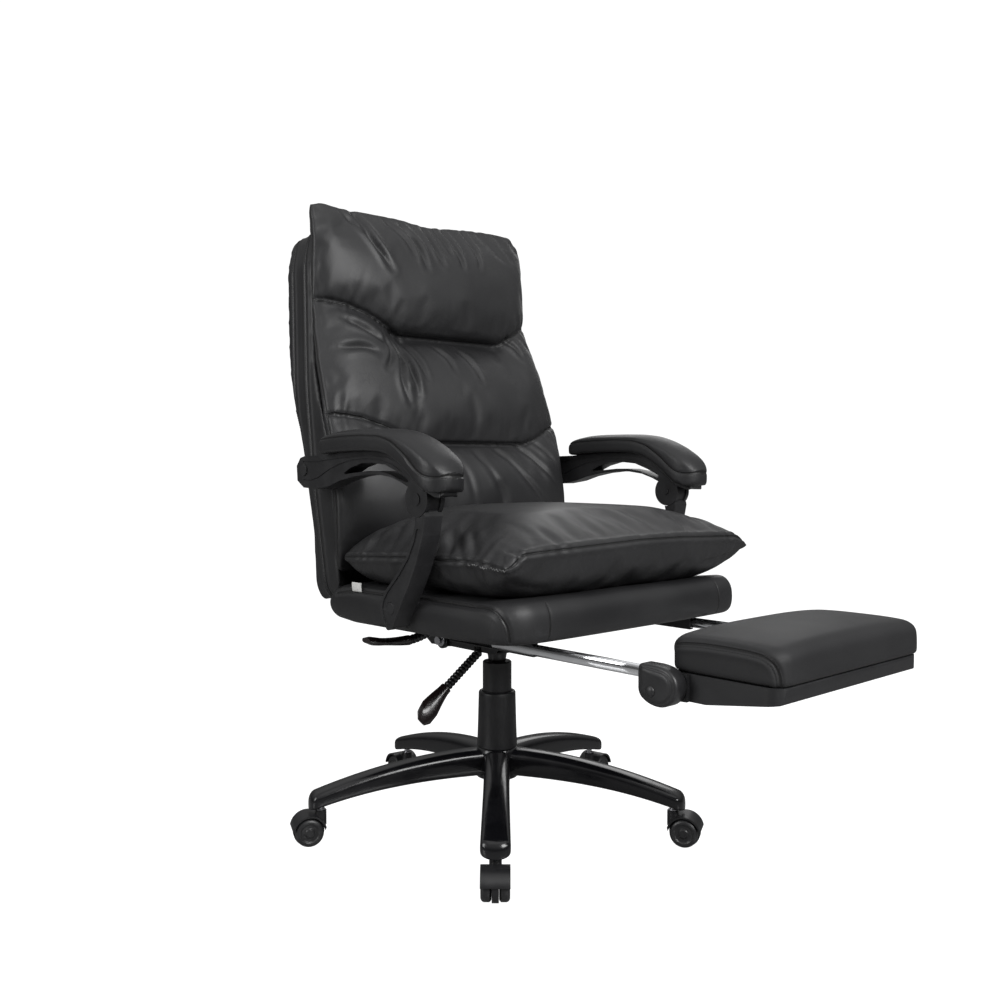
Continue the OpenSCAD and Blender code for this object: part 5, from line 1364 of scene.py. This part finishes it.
def padHalf(y):
    form = armPadForm
    if y < form["front"] + form["nose"]:
        t = (form["front"] + form["nose"] - y) / (form["nose"] * 1.012)
    elif y > form["rear"] - form["tail"]:
        t = (y - form["rear"] + form["tail"]) / (form["tail"] * 1.03)
    else:
        t = 0.0
    return form["width"] / 2 * max(0.0, 1 - t ** form["endSquare"]) ** (1 / form["endSquare"])


def padBase(y):
    form = armPadForm
    lift = max(0.0, form["front"] + form["bedLiftLong"] - y) / form["bedLiftLong"]
    return straight(y, form["barTop"]) + form["bedGap"] + form["bedLift"] * lift * lift


def armPadPlace(u, t, w):
    form = armPadForm
    middle, half = (form["front"] + form["rear"]) / 2, (form["rear"] - form["front"]) / 2
    widest = math.pi / 2 * form["spread"]
    y = middle + half * math.sin(t * widest) / math.sin(widest)
    base = padBase(y)
    thick = straight(y, form["crown"]) - base
    up = (w + 1) / 2 * thick * (1 - form["edgeDrop"] * abs(u) ** 2.6)
    return -form["middle"] + u * padHalf(y), y, base + up


def padSeamLoop():
    form = armPadForm
    side = []
    for y in form["seamPlaces"]:
        crown = straight(y, form["crown"])
        z = min(straight(y, form["barTop"]) + form["seamRise"], crown - 0.0045)
        side.append((padHalf(y), y, z))
    return ([(-form["middle"] - half, y, z) for half, y, z in side]
            + [(-form["middle"] + half, y, z) for half, y, z in reversed(side)])


def padSeamAcross(span):
    length = np.linalg.norm(span)
    return 0, -span[2] / length, abs(span[1]) / length + 0.2


def makeArmPad(name, sign, body, node):
    def place(u, t, w):
        x, y, z = armPadPlace(u, t, w)
        return sign * x, y, z
    pad = softBlock(name, place, armPadForm)
    smoothed(pad, 11)
    subdivide(pad)
    surface = surfaceOf(pad)
    loop = smoothPath([(sign * x, y, z) for x, y, z in padSeamLoop()], 3)
    loop = snapPath(surface, loop + [loop[0]])
    points, normals = readShape(pad)
    near = nearestOn(points, loop)[0]
    crown = np.interp(points[:, 1], *zip(*armPadForm["crown"]))
    flank = (points[:, 2] < crown - 0.010) & (normals[:, 2] > -0.5)
    rise = waves(near, *armPadForm["seam"]) + waves(near, armPadForm["flankWave"]) * flank
    writePoints(pad.data, pushed(points, normals, rise))
    storeSeams(pad, [(loop, padSeamAcross)])
    dress(pad, firmLeather, body, "leather", [node])


makeArmPad("rightArmPad", 1, "right_arm", "right_arm_pad")
makeArmPad("leftArmPad", -1, "left_arm", "left_arm_pad")
print("arm pads sewn")


# footrest pad, short enough at its rear to slide in as far as the seat base
footPadForm = {
    "halfX": 0.188, "front": -0.7285, "rear": -0.5470, "base": 0.3964, "thick": 0.0578, "corner": 0.026,
    "topRound": 0.020, "lowRound": 0.008, "droop": 0.0075, "cuts": 36, "voxel": 0.004,
    "side": [(-0.190, -0.556, 0.4345), (-0.190, -0.600, 0.4400), (-0.190, -0.650, 0.4405),
             (-0.190, -0.690, 0.4380), (-0.189, -0.712, 0.4290), (-0.186, -0.722, 0.4140),
             (-0.184, -0.724, 0.3990)],
    "seam": [(-0.0020, 0, 0.0020), (-0.0011, 0.0042, 0.0014), (0.0008, 0.008, 0.004)], "stitchAway": 0.0040,
}


def footPadPlace(u, t, w):
    form = footPadForm
    halfY = (form["rear"] - form["front"]) / 2
    middle = (form["rear"] + form["front"]) / 2
    x, y = roundPlan(u * form["halfX"], t * halfY, form["halfX"], halfY, form["corner"])
    return x, middle + y, form["base"] + form["thick"] * (w + 1) / 2


footPad = softBlock("footrestPad", footPadPlace, footPadForm)
points = readPoints(footPad.data)
footMiddle = (0.0, (footPadForm["front"] + footPadForm["rear"]) / 2)
footHalf = (footPadForm["halfX"], (footPadForm["rear"] - footPadForm["front"]) / 2)
footLow = footPadForm["base"]
footTop = footLow + footPadForm["thick"]
roundEdge(points, footMiddle, footHalf, footPadForm["corner"], footTop, footPadForm["topRound"], 1)
roundEdge(points, footMiddle, footHalf, footPadForm["corner"], footLow, footPadForm["lowRound"], -1)
fromMiddle = (points[:, :2] - footMiddle) / footHalf
raised = np.clip((points[:, 2] - footLow) / footPadForm["thick"], 0, 1)
outwards = np.abs(fromMiddle[:, 0]) ** 3 + 0.6 * np.abs(fromMiddle[:, 1]) ** 3
points[:, 2] -= raised * footPadForm["droop"] * outwards
writePoints(footPad.data, points)
smoothed(footPad, 5)
subdivide(footPad)
footSurface = surfaceOf(footPad)
footSeams = [snapPath(footSurface, path) for path in sideLines(smoothPath(footPadForm["side"], 6))]
points, normals = readShape(footPad)
for path in footSeams:
    points = pushed(points, normals, waves(nearestOn(points, path)[0], *footPadForm["seam"]))
writePoints(footPad.data, points)
storeSeams(footPad, [(path, upFromRow) for path in footSeams])
# the pad wears the darker copy of the leather, painted shade on its top
dress(footPad, shadedFootLeather, "footrest", "leather", ["footrest_pad"])
footSurface = surfaceOf(footPad)
for number, path in enumerate(footSeams):
    for row, shift in enumerate((footPadForm["stitchAway"], -footPadForm["stitchAway"])):
        turned = []
        for k, p in enumerate(path):
            ahead = (path[min(k + 1, len(path) - 1)] - path[max(k - 1, 0)]).normalized()
            turned.append(p + Vector((0, -ahead.z, ahead.y)) * shift)
        stitchRow(f"footStitches{number}_{row}", footSurface, turned, "footrest")
print("footrest pad sewn")


# ribbed rubber sleeves over the levers' rods
sleeveForm = {
    "pitch": 0.0078, "core": 0.0058, "rise": 0.0026, "bare": 0.0043, "reach": 0.0105, "sides": 20,
    "step": 0.0008,
    "heightSpan": (0.0205, 0.1175),     # start and end along the rod, from the lever's knee
    "reclineRoot": (-0.060, 0.010, 0.386),
    "reclineLine": [(-0.019, -0.0004), (-0.040, -0.001), (-0.070, -0.003), (-0.096, -0.009),
                    (-0.118, -0.015), (-0.1375, -0.018)],       # x and z from its root
}


def ribbedSleeve(name, node, line, body):
    form = sleeveForm
    path = [spot for spot, _ in evenPath(line, form["step"])]
    line = np.array(path)
    rod = bpy.data.objects[node + "_finished"].data
    points = readPoints(rod)
    near, along, whole = nearestOn(points, line)
    lengths = np.concatenate([[0], np.cumsum(np.linalg.norm(np.diff(line, axis=0), axis=1))])
    middle = np.stack([np.interp(along, lengths, line[:, k]) for k in range(3)], axis=1)
    covered = (along > 0) & (along < whole) & (near > form["bare"]) & (near < form["reach"])
    shrink = np.where(covered, form["bare"] / np.maximum(near, 1e-6), 1.0)
    writePoints(rod, middle + (points - middle) * shrink[:, None])

    def ribbed(t):
        return form["core"] + form["rise"] * abs(math.sin(math.pi * t * whole / form["pitch"])) ** 0.6
    rings = tubeRings(path, ribbed, form["sides"], (0, 1, 0))
    dress(meshPiece(name, skin(rings)), leverPlastic, body, "plastic")


knee = Vector(leverTurn["knee"])
slope = math.radians(leverTurn["slope"])
rodAhead = Vector((-math.cos(slope), 0, -math.sin(slope)))
heightLine = [knee + rodAhead * away for away in sleeveForm["heightSpan"]]
ribbedSleeve("heightLeverSleeve", "height_lever_rod", heightLine, "height_lever")
rootX, rootY, rootZ = sleeveForm["reclineRoot"]
reclineLine = smoothPath([(rootX + x, rootY, rootZ + z) for x, z in sleeveForm["reclineLine"]], 6)
ribbedSleeve("reclineLeverSleeve", "recline_lever_rod", reclineLine, "recline_lever")
print("lever sleeves made")


# bare care label, a gently bowed strip of white tape
labelForm = {"x": -0.2832, "rear": 0.060, "long": 0.028, "low": 0.4565, "tall": 0.0160, "thick": 0.0005}


def labelPlace(s, t):
    x = labelForm["x"] - 0.0015 * math.sin(t * 2.4) - 0.0006 * math.sin(s * 3.0)
    return x, labelForm["rear"] - labelForm["long"] * s, labelForm["low"] + labelForm["tall"] * t


bm = bmesh.new()
bmesh.ops.create_grid(bm, x_segments=14, y_segments=8, size=0.5)
for vert in bm.verts:
    vert.co = labelPlace(vert.co.x + 0.5, vert.co.y + 0.5)
bmesh.ops.recalc_face_normals(bm, faces=bm.faces)
careLabel = meshPiece("careLabel", bm, recalculate=False)
solid = careLabel.modifiers.new("thickness", "SOLIDIFY")
solid.thickness = labelForm["thick"]
solid.offset = 0
dress(careLabel, label, "seat", "label", ["care_label"])
print("label sewn")


# floor, light and camera
def plain(name, colour, roughness):
    material, tree, shader, place = newMaterial(name)
    cloud = newNode(tree, "ShaderNodeTexNoise", {"Scale": 3.0, "Detail": 2.0})
    tree.links.new(place, cloud.inputs["Vector"])
    darker = tuple(c * 0.99 for c in colour)
    tree.links.new(mixColour(tree, cloud.outputs["Fac"], darker, colour), shader.inputs["Base Color"])
    shader.inputs["Roughness"].default_value = roughness
    return material


floorForm = {"size": 9.0, "tone": (0.28, 0.28, 0.28), "gloss": 0.08, "lift": 1.02}
paleFloor = plain("paleFloor", floorForm["tone"], floorForm["gloss"])
floorTree = paleFloor.node_tree
floorShader = floorTree.nodes["Principled BSDF"]
floorShader.inputs["Emission Color"].default_value = (1, 1, 1, 1)
cameraSees = newNode(floorTree, "ShaderNodeLightPath").outputs["Is Camera Ray"]
floorGlow = sums(floorTree, "MULTIPLY", cameraSees, floorForm["lift"])
floorTree.links.new(floorGlow, floorShader.inputs["Emission Strength"])
bm = bmesh.new()
bmesh.ops.create_grid(bm, x_segments=1, y_segments=1, size=floorForm["size"])
floor = meshPiece("floor", bm)
floor.data.materials.append(paleFloor)

# a white studio: darker at the sides for the light that falls on the chair, plain white where it is seen
studioLight = {"overhead": 0.46, "sides": 0.07, "seen": 1.06}
world = bpy.data.worlds.new("studio")
bpy.context.scene.world = world
world.use_nodes = True
air = world.node_tree
background = air.nodes["Background"]
direction = air.nodes.new("ShaderNodeTexCoord")
split = air.nodes.new("ShaderNodeSeparateXYZ")
air.links.new(direction.outputs["Generated"], split.inputs[0])
glow = ramp(air, split.outputs["Z"], 0.05, 0.75, studioLight["sides"], studioLight["overhead"])
seen = newNode(air, "ShaderNodeLightPath")
strength = newNode(air, "ShaderNodeMix", data_type="FLOAT")
air.links.new(seen.outputs["Is Camera Ray"], strength.inputs[0])
air.links.new(glow, strength.inputs[2])
strength.inputs[3].default_value = studioLight["seen"]
air.links.new(strength.outputs[0], background.inputs["Strength"])
background.inputs["Color"].default_value = (1, 1, 1, 1)
bpy.context.scene.view_settings.view_transform = "Standard"


softboxes = [   # name, place, aim, width, height and watts
    ("overhead", (-0.3, -0.6, 3.2), (0, 0, 0.5), 3.0, 3.0, 12),
    ("keyFront", (-0.4, -3.2, 2.3), (0, 0, 0.6), 2.2, 1.6, 126),
    ("sideLeft", (-3.2, 0.6, 1.7), (0, 0, 0.6), 1.4, 2.0, 47),
    ("rearRight", (2.6, 1.6, 2.2), (0, 0, 0.7), 1.6, 2.0, 16),
]


def softbox(name, place, aim, width, height, power):
    lamp = bpy.data.lights.new(name, "AREA")
    lamp.shape = "RECTANGLE"
    lamp.size, lamp.size_y = width, height
    lamp.energy = power
    holder = bpy.data.objects.new(name, lamp)
    bpy.context.scene.collection.objects.link(holder)
    holder.location = place
    holder.rotation_euler = (Vector(aim) - Vector(place)).to_track_quat("-Z", "Y").to_euler()


for box in softboxes:
    softbox(*box)

cameraForm = {"lens": 38.12, "sensor": 36, "place": (-1.3303, -1.4491, 0.6844), "down": 2.23, "turn": -42.71}
camera = bpy.data.cameras.new("camera")
camera.lens = cameraForm["lens"]
camera.sensor_width = cameraForm["sensor"]
cameraHolder = bpy.data.objects.new("camera", camera)
bpy.context.scene.collection.objects.link(cameraHolder)
cameraHolder.location = cameraForm["place"]
cameraHolder.rotation_euler = (math.radians(90 - cameraForm["down"]), 0, math.radians(cameraForm["turn"]))
bpy.context.scene.camera = cameraHolder
